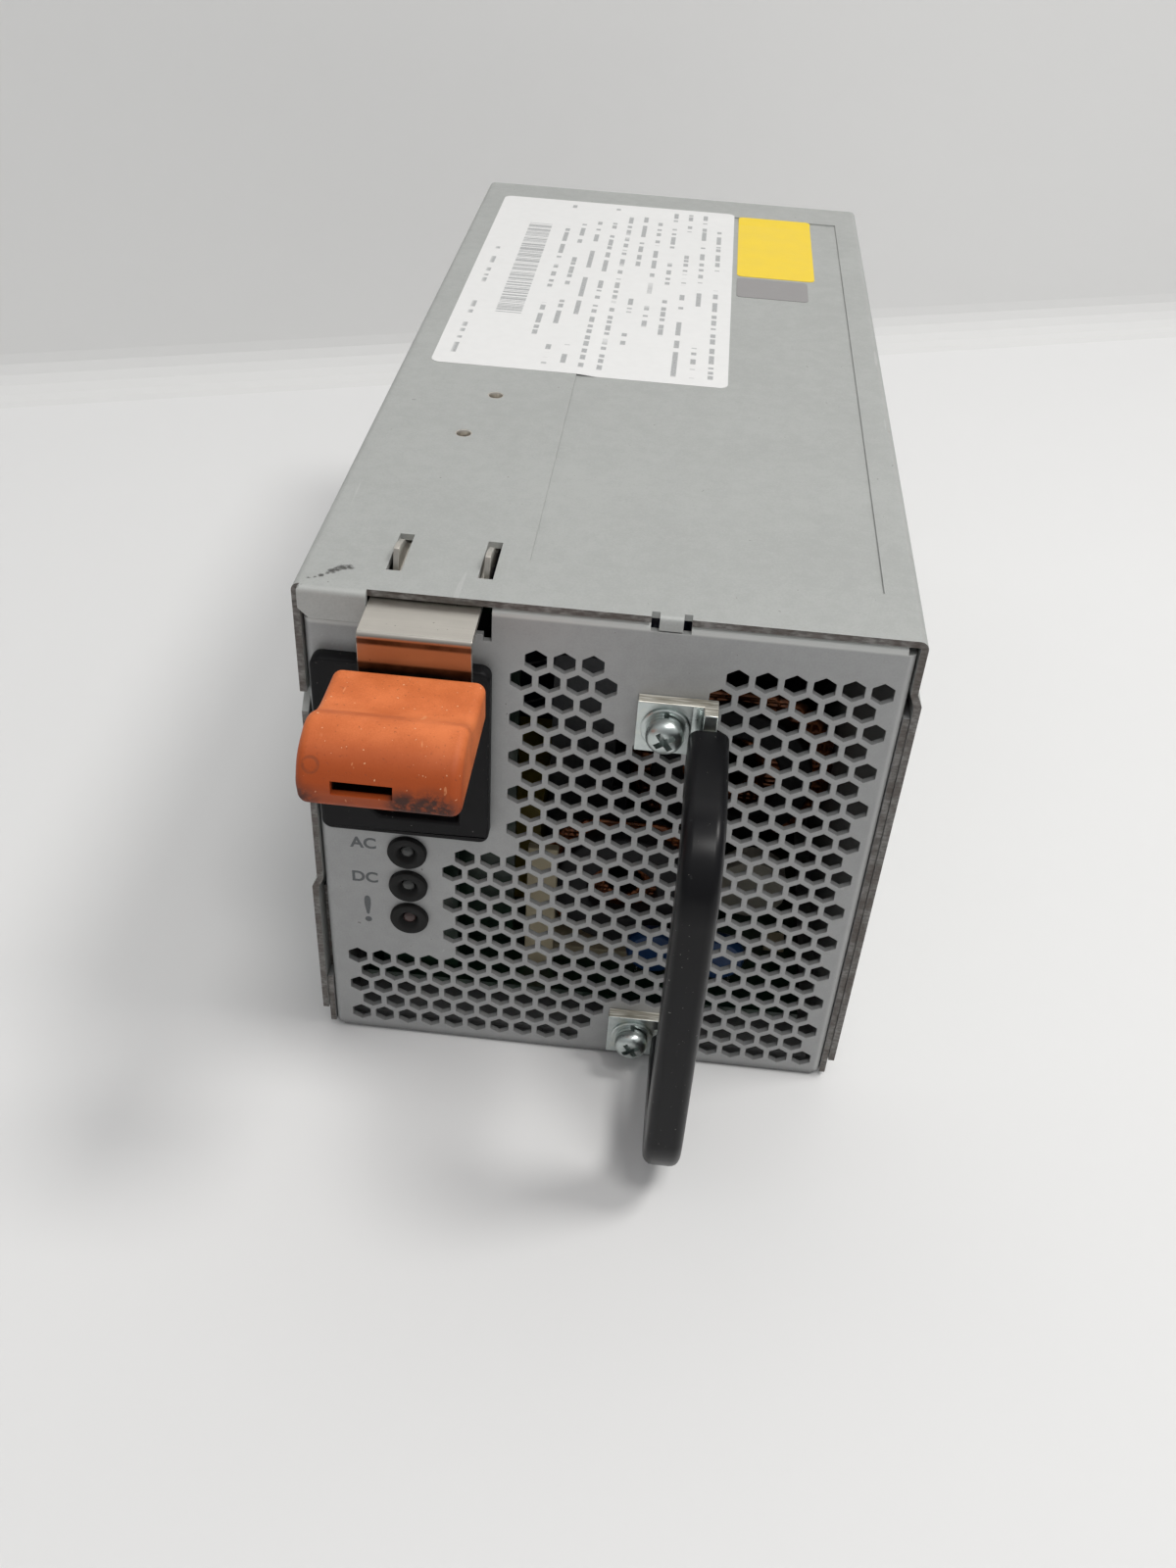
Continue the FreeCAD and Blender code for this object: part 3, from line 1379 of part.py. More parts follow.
def make_rotor():
    """Rotor: cup shaped hub with slanted blades, turning on its shaft in the bush."""
    hub_front = fan_front + s.fan_depth - s.fan_motor_depth - s.axial_gap - s.hub_depth
    cup = bar(fan_x, hub_front, fan_z, s.hub_radius, s.hub_depth, "Y", s.large_sides)
    inside = bar(fan_x, hub_front + s.hub_wall, fan_z, s.hub_radius - s.hub_wall,
                 s.hub_depth - s.hub_wall, "Y", s.large_sides)
    bore = rod(fan_x, hub_front, fan_z, s.shaft_radius, s.hub_wall, "Y")

    tip = (s.fan_duct_radius - s.tip_gap).value * math.cos(math.pi / s.duct_sides.value)
    root = (s.hub_radius - s.hub_wall / 2).value * math.cos(math.pi / s.large_sides.value)
    half_root, half_tip = s.blade_root_chord.value / 2, s.blade_tip_chord.value / 2
    slant = math.cos(math.radians(s.blade_pitch.value))
    shoulder = math.sqrt(tip ** 2 - (half_tip * slant) ** 2)
    root = math.sqrt(root ** 2 - (half_root * slant) ** 2)
    thickness = s.blade.value
    outline = [Vector(root, -half_root, -thickness / 2), Vector(shoulder, -half_tip, -thickness / 2),
               Vector(tip, 0, -thickness / 2), Vector(shoulder, half_tip, -thickness / 2),
               Vector(root, half_root, -thickness / 2)]
    plate = Part.Face(Part.makePolygon(outline + outline[:1])).extrude(Vector(0, 0, thickness))
    plate.rotate(Vector(), Vector(1, 0, 0), 90 - s.blade_pitch.value)
    middle = Vector(fan_x.value, (hub_front + s.hub_depth / 2).value, fan_z.value)
    count = int(s.blade_count.value)
    blades = []
    for number in range(count):
        blade = plate.copy()
        blade.rotate(Vector(), Vector(0, 1, 0), 360 * number / count)
        blade.translate(middle)
        blades.append(feature(blade, "Blade"))
    keep(cut(fuse(cup, *blades), inside, bore), "fan_rotor")
    keep(rod(fan_x, hub_front, fan_z, s.shaft_radius,
             s.hub_depth + s.axial_gap + s.fan_motor_depth / 2, "Y"), "fan_shaft")


def make_fan_screws():
    screws = []
    for x, z in fan_hole_places:
        head = bar(x, rear_face, z, s.fan_screw_head, s.fan_screw_head_height, "Y")
        shank = bar(x, rear_face - s.fan_screw_length, z, s.fan_hole_radius, s.fan_screw_length, "Y")
        screws.append(fuse(head, shank))
    keep(group(*screws), "fan_screws")


def write_parts():
    """Checks every object and every sub-part, then writes one STEP file for each."""
    doc.recompute()
    failed = [item.Label for item in doc.Objects
              if "Invalid" in item.State or "Error" in item.State]
    for item in SUBPARTS:
        if item.Shape.isNull() or not item.Shape.isValid() or not item.Shape.Solids:
            failed.append(item.Label)
    if failed:
        raise RuntimeError("not built: " + ", ".join(failed))
    os.makedirs("parts", exist_ok=True)
    for item in SUBPARTS:
        item.Shape.exportStep(os.path.join("parts", item.Label + ".step"))
    print("%d sub-parts" % len(SUBPARTS))


make_tray()
make_cover()
make_front_panel()
make_rear_panel()
make_inlet()
make_lamps()
make_handle()
make_handle_fasteners()
make_latch()
make_grip()
make_boards()
make_filter()
make_power_stage()
make_control()
make_connector()
make_fan_frame()
make_rotor()
make_fan_screws()
write_parts()
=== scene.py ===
"""Looks of a slide-in server power supply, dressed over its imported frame.

Places on the case are given in millimetres from its left wall, its front panel and its
underside; meshes are in metres, in the frame's own axes.
"""

import math
from functools import partialmethod

import bmesh
import bpy
from mathutils import Matrix, Vector


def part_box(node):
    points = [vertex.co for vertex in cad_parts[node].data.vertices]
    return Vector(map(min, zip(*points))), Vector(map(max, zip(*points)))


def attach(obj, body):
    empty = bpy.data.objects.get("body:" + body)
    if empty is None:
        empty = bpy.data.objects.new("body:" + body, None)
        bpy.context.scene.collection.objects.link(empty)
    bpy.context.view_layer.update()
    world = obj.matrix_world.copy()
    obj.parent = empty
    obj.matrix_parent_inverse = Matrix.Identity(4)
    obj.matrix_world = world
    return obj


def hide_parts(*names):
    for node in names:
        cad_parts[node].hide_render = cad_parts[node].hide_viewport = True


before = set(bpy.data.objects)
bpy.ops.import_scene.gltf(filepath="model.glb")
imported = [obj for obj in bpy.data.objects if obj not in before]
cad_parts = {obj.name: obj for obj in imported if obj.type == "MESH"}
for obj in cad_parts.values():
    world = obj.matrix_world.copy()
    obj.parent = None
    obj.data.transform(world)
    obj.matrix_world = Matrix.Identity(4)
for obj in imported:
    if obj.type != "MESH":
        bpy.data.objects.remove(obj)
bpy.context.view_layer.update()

MM = 0.001
PANEL_INSET = 1.2
panel_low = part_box("front_panel")[0]
CASE_LEFT = panel_low.x / MM - PANEL_INSET
CASE_FRONT = panel_low.y / MM
CASE_WIDTH = -2 * CASE_LEFT
ROOF = 89.5
LIP_RIGHT, LIP_FRONT = 10.5, -1.05
TAB_LEFT, TAB_RIGHT = 50.3, 53.7
MERGE = 0.5e-6
SHARP = 32.0


def at(x, y, z):
    """A place on the case, in metres."""
    return Vector((CASE_LEFT + x, CASE_FRONT + y, z)) * MM


def on_case(point):
    """The millimetres from left wall, front panel and underside of a place in metres."""
    return Vector((point.x / MM - CASE_LEFT, point.y / MM - CASE_FRONT, point.z / MM))


def case_box(node):
    """The lowest and the highest corner of a CAD node, in millimetres on the case."""
    return [on_case(corner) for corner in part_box(node)]


# ---------------------------------------------------------------- node trees

class Value:
    """A socket that gives a number, a colour or a vector; operators add Math nodes."""

    def __init__(self, tree, socket):
        self.tree = tree
        self.socket = socket

    def function(self, operation, other=0.0):
        """A Math node with this value first."""
        return self.tree.node("ShaderNodeMath", {"operation": operation}, {0: self, 1: other})

    def after(self, operation, other):
        """A Math node with this value second."""
        return self.tree.node("ShaderNodeMath", {"operation": operation}, {0: other, 1: self})

    __add__ = partialmethod(function, "ADD")
    __radd__ = partialmethod(after, "ADD")
    __sub__ = partialmethod(function, "SUBTRACT")
    __rsub__ = partialmethod(after, "SUBTRACT")
    __mul__ = partialmethod(function, "MULTIPLY")
    __lt__ = partialmethod(function, "LESS_THAN")


class Tree:
    """A node tree whose nodes are added with their settings and sockets in one call."""

    def __init__(self, tree):
        self.tree = tree

    def node(self, kind, settings=None, sockets=None, output=0):
        made = self.tree.nodes.new(kind)
        for name, value in (settings or {}).items():
            setattr(made, name, value)
        for name, value in (sockets or {}).items():
            self.feed(made.inputs[name], value)
        return Value(self, made.outputs[output])

    def feed(self, socket, value):
        if isinstance(value, Value):
            self.tree.links.new(value.socket, socket)
        else:
            socket.default_value = value


class Finish(Tree):
    """A procedural material on Object coordinates."""

    def __init__(self, name, colour, roughness=0.5, metallic=0.0, **fixed):
        self.material = bpy.data.materials.new(name)
        self.material.use_nodes = True
        super().__init__(self.material.node_tree)
        self.shader = self.tree.nodes["Principled BSDF"]
        self.place = self.node("ShaderNodeTexCoord", output="Object")
        fixed.update(Base_Color=(*colour, 1.0), Roughness=roughness, Metallic=metallic)
        for socket, value in fixed.items():
            self.surface(socket.replace("_", " "), value)

    def surface(self, name, value):
        self.feed(self.shader.inputs[name], value)

    def painted(self, tone, roughness, relief=None, depth=0.0):
        """Sets the colour, the roughness and a relief of a depth in millimetres."""
        self.surface("Base Color", tone)
        self.surface("Roughness", roughness)
        if relief:
            self.surface("Normal", self.node("ShaderNodeBump", None, {
                "Height": relief, "Distance": depth * MM, "Strength": 1.0}))
        return self

    def grain(self, size, detail=3.0, stretch=(1.0, 1.0, 1.0), turn=(0.0, 0.0, 0.0),
              roughness=0.55):
        """Noise whose blotches are about size millimetres across, from 0 to 1."""
        place = self.node("ShaderNodeMapping", {"vector_type": "POINT"}, {
            "Vector": self.place, "Scale": [1000 * part for part in stretch], "Rotation": turn})
        return self.node("ShaderNodeTexNoise", {"noise_dimensions": "3D"}, {
            "Vector": place, "Scale": 1 / size, "Detail": detail, "Roughness": roughness})

    def between(self, value, low, high):
        """0 below low and 1 above high, smooth between them; falling where high is lower."""
        return self.node("ShaderNodeMapRange", {"interpolation_type": "SMOOTHSTEP"},
                         {"Value": value, "From Min": low, "From Max": high})

    def band(self, value, foot, low, high, top):
        """1 from low to high, fading to 0 at foot and at top."""
        return self.between(value, foot, low) * self.between(value, top, high)

    def dots(self, size, low, high, detail=2.0):
        """Scattered dots: where a grain of the given size passes a level."""
        return self.between(self.grain(size, detail), low, high)

    def mix(self, mask, first, second):
        """A colour between two, by a mask."""
        return self.node("ShaderNodeMix", {"data_type": "RGBA"},
                         {0: mask, 6: rgba(first), 7: rgba(second)}, output=2)

    def coordinate(self, axis):
        """One case coordinate of the surface, in millimetres."""
        part = self.node("ShaderNodeSeparateXYZ", None, {0: self.place}, "XYZ".index(axis))
        return part * 1000.0 - {"X": CASE_LEFT, "Y": CASE_FRONT, "Z": 0.0}[axis]

    def distance(self, x, y, z):
        """How far the surface is from a place on the case, in metres."""
        return self.node("ShaderNodeVectorMath", {"operation": "DISTANCE"},
                         {0: self.place, 1: at(x, y, z)}, "Value")

    def spot(self, x, y, z, reach):
        """1 at a place on the case, fading to 0 at reach millimetres."""
        return 1.0 - self.between(self.distance(x, y, z), 0.0, reach * MM)

    def stain(self, dabs):
        """The blot made by several dabs on the roof, each a place and a reach in millimetres."""
        ragged = self.grain(0.9)
        blot = 0.0
        for x, y, reach in dabs:
            away = self.distance(x, y, ROOF) * 1000.0
            dab = 1.0 - self.between(away + ragged * 1.2, reach * 0.4 + 0.6, reach + 0.9)
            blot = dab.function("MAXIMUM", blot)
        return blot


def rgba(colour):
    return colour if isinstance(colour, Value) else (*colour, 1.0)


def scaled(colour, factor, extra=0.0):
    """A colour made paler or darker."""
    return tuple(min(1.0, part * factor + extra) for part in colour)


def grained(name, colour, tones, gloss, depth, size, detail=3.0, stretch=(1.0, 1.0, 1.0), **fixed):
    """One grain through the colour, the roughness and the relief of a surface.

    The tones are the two colours it runs between, and gloss is the least roughness and what the
    grain adds to it.
    """
    finish = Finish(name, colour, **fixed)
    grain = finish.grain(size, detail, stretch)
    return finish.painted(finish.mix(grain, *tones), gloss[0] + grain * gloss[1],
                          grain if depth else None, depth)


# ---------------------------------------------------------------- metal finishes

STEEL = (0.425, 0.437, 0.425)
# The paler colour painted on the front panel's folds as a highlight.
FOLD_HIGHLIGHT_TONE = (0.66, 0.67, 0.65)


def sheet_steel(name, colour):
    """Coated sheet steel: a fine tight grain, faint mottling, a few specks and hairlines."""
    finish = Finish(name, colour, metallic=0.35)
    fine, cloud, mottle = (finish.grain(size) for size in (0.30, 22.0, 2.2))
    marks = finish.between(finish.grain(2.4, 2.0, (1.0, 0.06, 1.0), (0.0, 0.0, 0.5)), 0.735, 0.76)
    tone = finish.mix(finish.between(cloud * 0.25 + mottle * 0.30 + fine * 0.45, 0.38, 0.62),
                      scaled(colour, 0.945), scaled(colour, 1.055))
    tone = finish.mix(finish.dots(1.1, 0.755, 0.775) * 0.6, tone, (0.13, 0.12, 0.11))
    finish.tone = finish.mix(marks * 0.2, tone, (0.62, 0.63, 0.62))
    return finish.painted(finish.tone, 0.47 + fine * 0.12 + cloud * 0.02 - marks * 0.12,
                          fine * 0.7 + mottle * 0.3, 0.008)


def panel_steel():
    """The front panel's steel, with painted shade, painted highlights on its folds and a painted
    shadow under the lip.
    """
    # This steel is darker than the cover's: partly its own colour, partly painted shade of the
    # front face.
    finish = sheet_steel("panel_steel", (0.360, 0.364, 0.364))
    height, across = finish.coordinate("Z"), finish.coordinate("X")
    # Painted highlight: the folded top and right edges are painted paler, where they catch the
    # light.
    top = finish.between(height, 86.9, 87.4)
    side = finish.between(across, 84.1, 84.7) * 0.4
    outside = 1.0 - finish.between(finish.coordinate("Y"), 1.0, 1.5)
    corner = 1.0 - finish.between(across, LIP_RIGHT + 0.1, LIP_RIGHT + 0.3)
    # Painted highlight: a paler band under the cover's lip stands for a lower fold of the panel
    # catching the light.
    ledge_highlight = corner * finish.band(height, 83.1, 83.6, 84.1, 84.4)
    fold = top.function("MAXIMUM", side) * outside
    fold = fold.function("MAXIMUM", ledge_highlight * 0.8)
    # Painted shade: the panel is painted darker along its bottom edge.
    foot = 1.0 - finish.between(height, 0.2, 2.4)
    # Painted shadow: a near black gap is painted above that band, under the lip.
    gap = corner * finish.between(height, 84.15, 84.4)
    # Painted highlight on the folds; the next mixes paint shade along the foot and a shadow under
    # the lip.
    tone = finish.mix(fold * 0.75, finish.tone, FOLD_HIGHLIGHT_TONE)
    tone = finish.mix(foot * 0.8, tone, (0.11, 0.11, 0.11))
    finish.surface("Base Color", finish.mix(gap * 0.9, tone, (0.02, 0.02, 0.02)))
    return finish


def cover_steel():
    """The cover's own steel: a dark smudge at the front corner, scuffs along its edges and a
    painted highlight on its front lip.
    """
    finish = sheet_steel("cover_steel", STEEL)
    stain = finish.stain(((6.9, 5.3, 0.55), (6.2, 5.0, 0.75), (5.5, 4.5, 0.7), (4.9, 3.9, 0.55),
                          (4.4, 3.3, 0.30), (3.7, 2.6, 0.22), (2.9, 2.0, 0.16),
                          (2.1, 1.6, 0.14)))
    smudge = stain * finish.dots(0.5, 0.30, 0.50, 4.0)
    # Painted highlight: the bend of the folded front lip is painted paler.
    lip = (finish.between(finish.coordinate("Z"), 88.5, 89.0)
           * (1.0 - finish.between(finish.coordinate("Y"), -0.5, 0.0)))
    side = finish.between(finish.coordinate("X"), CASE_WIDTH - 1.6, CASE_WIDTH - 0.4)
    tone = finish.mix(lip * 0.3, finish.tone, (0.56, 0.57, 0.55))
    dark = finish.mix(smudge * 0.9, tone, (0.045, 0.043, 0.040))
    finish.surface("Base Color", finish.mix(finish.dots(3.2, 0.66, 0.74, 5.0) * side * 0.5, dark,
                                            (0.30, 0.27, 0.23)))
    return finish


def cut_steel():
    """Sheared edges of the sheet: bare, streaked across and a little stained."""
    finish = Finish("cut_steel", (0.18, 0.17, 0.16), metallic=0.5)
    shear = finish.grain(0.45, stretch=(0.35, 1.0, 1.0))
    stain = finish.dots(3.0, 0.40, 0.62, 3.0)
    bare = finish.mix(finish.between(shear, 0.35, 0.65), (0.12, 0.112, 0.105), (0.26, 0.25, 0.24))
    return finish.painted(finish.mix(stain * 0.6, bare, (0.085, 0.068, 0.058)),
                          0.45 + shear * 0.25, shear, 0.02)


def zinc_plate():
    """Bright zinc plating with a cloudy blue cast and rolled-over edges."""
    finish = Finish("zinc_plate", (0.56, 0.60, 0.60), metallic=1.0)
    cloud, fine = finish.grain(1.6, 4.0), finish.grain(0.18, 2.0)
    tone = finish.mix(cloud, (0.38, 0.435, 0.43), (0.68, 0.72, 0.70))
    tone = finish.mix(finish.dots(3.5, 0.52, 0.70) * 0.4, tone, (0.72, 0.70, 0.58))
    return finish.painted(tone, 0.20 + cloud * 0.22, cloud * 0.6 + fine * 0.4, 0.02)


def sheared_zinc():
    """The plated plate's sheared edge: pale, with ridges straight across its thickness."""
    finish = Finish("sheared_zinc", (0.72, 0.70, 0.62), metallic=0.7)
    ridges = finish.grain(0.42, 2.0, (0.08, 1.0, 1.0))
    tone = finish.mix(finish.between(ridges, 0.36, 0.64), (0.42, 0.39, 0.32), (0.86, 0.84, 0.76))
    return finish.painted(tone, 0.34 + ridges * 0.2, ridges, 0.10)


def nickel_spring():
    """Satin nickel of the leaf: brushed along its width, with pits, and painted shade and painted
    dark reflections on its leg.
    """
    finish = Finish("nickel_spring", (0.70, 0.665, 0.61), metallic=1.0)
    brushed, cloud = finish.grain(0.5, stretch=(0.05, 1.0, 1.0)), finish.grain(4.0)
    pits = finish.dots(0.8, 0.735, 0.77)
    tone = finish.mix(brushed * 0.6 + cloud * 0.4, (0.56, 0.53, 0.48), (0.75, 0.715, 0.655))
    # Painted shade: the leaf's bent-down leg is painted darker all over.
    leg, height = finish.between(finish.coordinate("Y"), -8.15, -8.35), finish.coordinate("Z")
    tone = finish.mix(leg * 0.8, tone, (0.36, 0.335, 0.30))
    # Painted reflections: dark bands just under the leg's top bend and at its foot.
    shade = finish.band(height, 86.2, 86.7, 87.15, 87.45)
    shade = shade.function("MAXIMUM", finish.between(height, 83.9, 83.4))
    tone = finish.mix(leg * shade * (0.55 + cloud * 0.6), tone, (0.035, 0.028, 0.022))
    return finish.painted(finish.mix(pits, tone, (0.16, 0.14, 0.12)), 0.24 + brushed * 0.14,
                          brushed - pits, 0.008)


def contact_metal():
    """Nickel plated contact blades with drawing lines."""
    return grained("contact_metal", (0.72, 0.70, 0.64), ((0.60, 0.58, 0.52), (0.82, 0.80, 0.75)),
                   (0.18, 0.15), 0.004, 0.3, 2.0, (1.0, 0.08, 1.0), metallic=1.0)


def heat_sink():
    """Extruded alloy with long draw lines."""
    return grained("heat_sink", (0.08, 0.084, 0.088),
                   ((0.06, 0.062, 0.066), (0.11, 0.113, 0.117)), (0.35, 0.2), 0.01, 0.6,
                   stretch=(1.0, 0.03, 1.0), metallic=0.8)


def enamelled_wire():
    """Copper wire under clear enamel, a little darker where it has been heated."""
    return grained("enamelled_wire", (0.27, 0.09, 0.03),
                   ((0.17, 0.050, 0.020), (0.36, 0.13, 0.045)), (0.22, 0.15), 0.0, 2.5,
                   metallic=0.9, Coat_Weight=0.6)


def core_iron(name, colour):
    """Ground ferrite, laminated iron or sintered metal: granular."""
    return grained(name, colour, (colour, tuple(part * 1.7 for part in colour)), (0.5, 0.3), 0.02,
                   0.3, 4.0, metallic=0.2)


# ---------------------------------------------------------------- plastic, rubber and paper

def moulded(name, colour, roughness=0.42, texture=0.35, dust=0.0, shine=0.5):
    """A moulded plastic: spark-eroded grain, slight gloss changes and settled dust."""
    finish = Finish(name, colour, Specular_IOR_Level=shine)
    grit, cloud = finish.grain(texture), finish.grain(9.0)
    tone = finish.mix(finish.between(cloud, 0.3, 0.7), colour, scaled(colour, 1.25, 0.002))
    if dust:
        tone = finish.mix(finish.dots(0.55, 0.70, 0.76) * dust, tone, (0.45, 0.43, 0.40))
    return finish.painted(tone, roughness + grit * 0.10 + cloud * 0.08, grit, 0.012)


def orange_grip():
    """Soft orange moulding: handled smooth, freckled, grimy at the window, scuffed above it, with
    painted shade on nose, crease and window inside.
    """
    finish = Finish("orange_grip", (0.66, 0.170, 0.048), Specular_IOR_Level=0.30)
    across, back, height = (finish.coordinate(axis) for axis in "XYZ")
    cloud, grit = finish.grain(5.5, 4.0), finish.grain(0.20)
    specks, crumbs = finish.dots(0.42, 0.665, 0.715), finish.dots(0.6, 0.745, 0.765, 1.0)
    streaks = finish.grain(1.2, 2.0, (1.0, 0.15, 0.5), (0.0, 0.0, 0.6))
    scratches = finish.between(streaks, 0.71, 0.74)
    tone = finish.mix(finish.between(cloud * 0.7 + grit * 0.3, 0.35, 0.66), (0.74, 0.200, 0.062),
                      (0.59, 0.142, 0.038))
    # Painted shade: the nose is painted darker towards its front, which turns away from the light.
    tone = finish.mix(finish.between(back, -25.0, -31.6) * 0.95, tone, (0.37, 0.062, 0.010))
    # Painted shade: a darker, grainy band in the hollow behind the crest.
    crease_shade = (finish.band(back, -24.2, -23.2, -22.2, -20.6)
              * finish.between(finish.grain(2.2, 4.0, (0.35, 1.0, 1.0)), 0.36, 0.58))
    tone = finish.mix(crease_shade * 0.40, tone, (0.36, 0.072, 0.019))
    rough = finish.between(finish.grain(0.9, 5.0, roughness=0.7), 0.36, 0.54)
    grime = finish.spot(24.9, -31.3, 78.3, 4.2).function(
        "MAXIMUM", finish.spot(21.6, -31.5, 78.9, 3.2) * 0.8)
    grime = grime.function("MAXIMUM", finish.spot(8.2, -31.0, 78.3, 3.8) * 0.5)
    grime = (grime * 2.0).function("MINIMUM", 1.0)
    film = finish.between(height, 80.4, 77.0) * finish.dots(3.0, 0.40, 0.62, 4.0)
    ring = finish.distance(9.9, -30.6, 83.1) * 1000.0
    scuff = finish.between((ring - 0.95).function("ABSOLUTE"), 0.34, 0.05)
    # Painted shade: the inside of the window under the tongue is painted near black.
    inside = (finish.band(across, 12.1, 12.3, 20.3, 20.5) * finish.between(back, -30.8, -30.5)
              * finish.band(height, 77.1, 77.3, 81.8, 82.0))
    # The brown is for scuffs and specks, the black for the painted shade inside the window.
    brown, black = (0.24, 0.055, 0.018), (0.006, 0.004, 0.003)
    for mask, colour in (
            (film * 0.5, (0.17, 0.038, 0.016)), (grime * 0.45, (0.16, 0.045, 0.026)),
            (grime * rough * 0.9, (0.040, 0.022, 0.018)), (scuff * rough * 0.75, brown),
            (specks * 0.5, brown), (scratches * 0.35, (0.86, 0.42, 0.20)),
            (crumbs * 0.8, (0.82, 0.46, 0.26)), (inside * 0.96, black)):
        tone = finish.mix(mask, tone, colour)
    relief = grit * 0.5 + cloud * 0.5 + crumbs * 0.6 - specks * 0.4 - scuff * 0.3
    return finish.painted(tone, 0.52 + cloud * 0.12 + grime * 0.15, relief, 0.05)


def sleeve_rubber():
    """Black dipped sleeve: smooth, faintly mottled, with grains of dust."""
    finish = Finish("sleeve_rubber", (0.005, 0.005, 0.006), Specular_IOR_Level=0.20)
    cloud, dust = finish.grain(7.0), finish.dots(0.5, 0.725, 0.755)
    scuff = finish.between(finish.grain(1.2, 3.0, (1.0, 1.0, 0.2)), 0.70, 0.76)
    tone = finish.mix(cloud, (0.003, 0.003, 0.004), (0.007, 0.007, 0.008))
    tone = finish.mix(scuff * 0.25, tone, (0.05, 0.05, 0.052))
    return finish.painted(finish.mix(dust * 0.45, tone, (0.30, 0.29, 0.27)),
                          0.24 + cloud * 0.16 + scuff * 0.1, cloud * 0.8 + dust * 0.2, 0.04)


def circuit_board():
    """Green solder mask over copper tracks on glass fibre."""
    finish = Finish("circuit_board", (0.012, 0.060, 0.028), Coat_Weight=0.3)
    place = finish.node("ShaderNodeMapping", {"vector_type": "POINT"},
                        {"Vector": finish.place, "Scale": (1000.0, 1000.0, 1000.0)})
    tracks = finish.node("ShaderNodeTexVoronoi", {"feature": "DISTANCE_TO_EDGE"},
                         {"Vector": place, "Scale": 0.25}, "Distance") < 0.09
    weave = finish.grain(0.5, 1.0)
    mask = finish.mix(weave, (0.004, 0.019, 0.010), (0.007, 0.028, 0.014))
    return finish.painted(finish.mix(tracks * 0.6, mask, (0.012, 0.042, 0.019)),
                          0.32 + weave * 0.1, tracks, 0.03)


def wound_tape():
    """Yellow polyester tape in overlapping turns."""
    finish = Finish("wound_tape", (0.70, 0.50, 0.08), Coat_Weight=0.4)
    cloud = finish.grain(3.0, 2.0)
    return finish.painted(finish.mix(cloud, (0.60, 0.41, 0.05), (0.78, 0.58, 0.13)),
                          0.28 + cloud * 0.15,
                          (finish.coordinate("Z") * 0.8).function("FRACT"), 0.05)


def can_sleeve():
    """Shrink sleeve of the capacitors with a pale marking band."""
    finish = Finish("can_sleeve", (0.020, 0.023, 0.045), Coat_Weight=0.5)
    cloud = finish.grain(6.0, 2.0)
    rings = (finish.coordinate("Z") * 0.11).function("FRACT") < 0.06
    tone = finish.mix(cloud, (0.016, 0.018, 0.036), (0.032, 0.036, 0.070))
    return finish.painted(finish.mix(rings * 0.5, tone, (0.45, 0.46, 0.47)),
                          0.25 + cloud * 0.1, cloud, 0.02)


def printed_label():
    """White label, illegibly printed: grey rows that run towards the rear, and a field of bars."""
    finish = Finish("printed_label", (0.76, 0.76, 0.755), Coat_Weight=0.25)
    across, along = finish.coordinate("X"), finish.coordinate("Y")
    row = (across * 0.30).function("FLOOR")
    in_row = ((across * 0.30).function("FRACT") - 0.5).function("ABSOLUTE")

    def runs(shift, rate):
        place = finish.node("ShaderNodeCombineXYZ", None, {0: row * shift, 1: along * rate})
        return finish.node("ShaderNodeTexNoise", {"noise_dimensions": "2D"},
                           {"Vector": place, "Scale": 1.0, "Detail": 0.0})

    inside = (finish.band(across, 7.5, 8.5, 55.5, 56.5)
              * finish.band(along, 80.5, 81.5, 172.5, 173.5))
    margin = finish.band(across, 11.0, 11.2, 19.8, 20.0)
    rows = (finish.between(in_row, 0.17, 0.12) * finish.between(runs(7.31, 0.42), 0.44, 0.50)
            * finish.between(runs(3.7, 0.05), 0.44, 0.47) * inside * (1.0 - margin))
    bars = finish.node("ShaderNodeTexNoise", {"noise_dimensions": "1D"},
                       {"W": along * 1.4, "Scale": 1.0, "Detail": 1.0})
    field = (finish.band(across, 12.9, 13.1, 17.9, 18.1)
             * finish.band(along, 103.8, 104.0, 158.0, 158.2))
    ink = (rows.function("MAXIMUM", field * finish.between(bars, 0.47, 0.50))
           * (0.45 + finish.grain(0.35, 1.0) * 0.7))
    fibre = finish.grain(2.0, 4.0)
    paper = finish.mix(fibre, (0.73, 0.73, 0.725), (0.79, 0.79, 0.785))
    return finish.painted(finish.mix(ink * 0.8, paper, (0.17, 0.18, 0.19)),
                          0.42 + fibre * 0.08, fibre, 0.01)


def film_label(name, colour, metallic=0.0):
    """A plain coloured film label with faint pressure marks."""
    return grained(name, colour, (tuple(part * 0.92 for part in colour), colour), (0.34, 0.12),
                   0.06, 4.5, metallic=metallic, Coat_Weight=0.1, Specular_IOR_Level=0.3)


def panel_ink():
    """Grey printing ink with thin patches."""
    return grained("panel_ink", (0.085, 0.090, 0.095),
                   ((0.060, 0.064, 0.070), (0.16, 0.17, 0.175)), (0.5, 0.2), 0.004, 0.3)


def lamp_lens():
    """Water-clear lens over an unlit diode."""
    finish = Finish("lamp_lens", (0.04, 0.042, 0.041), roughness=0.2)
    cloud = finish.grain(0.7, 2.0)
    tone = finish.mix(cloud, (0.020, 0.022, 0.021), (0.065, 0.068, 0.066))
    red = finish.spot(14.8, 0.0, 28.4, 3.0)
    return finish.painted(finish.mix(red * 0.5, tone, (0.080, 0.016, 0.014)), 0.20 + cloud * 0.1)


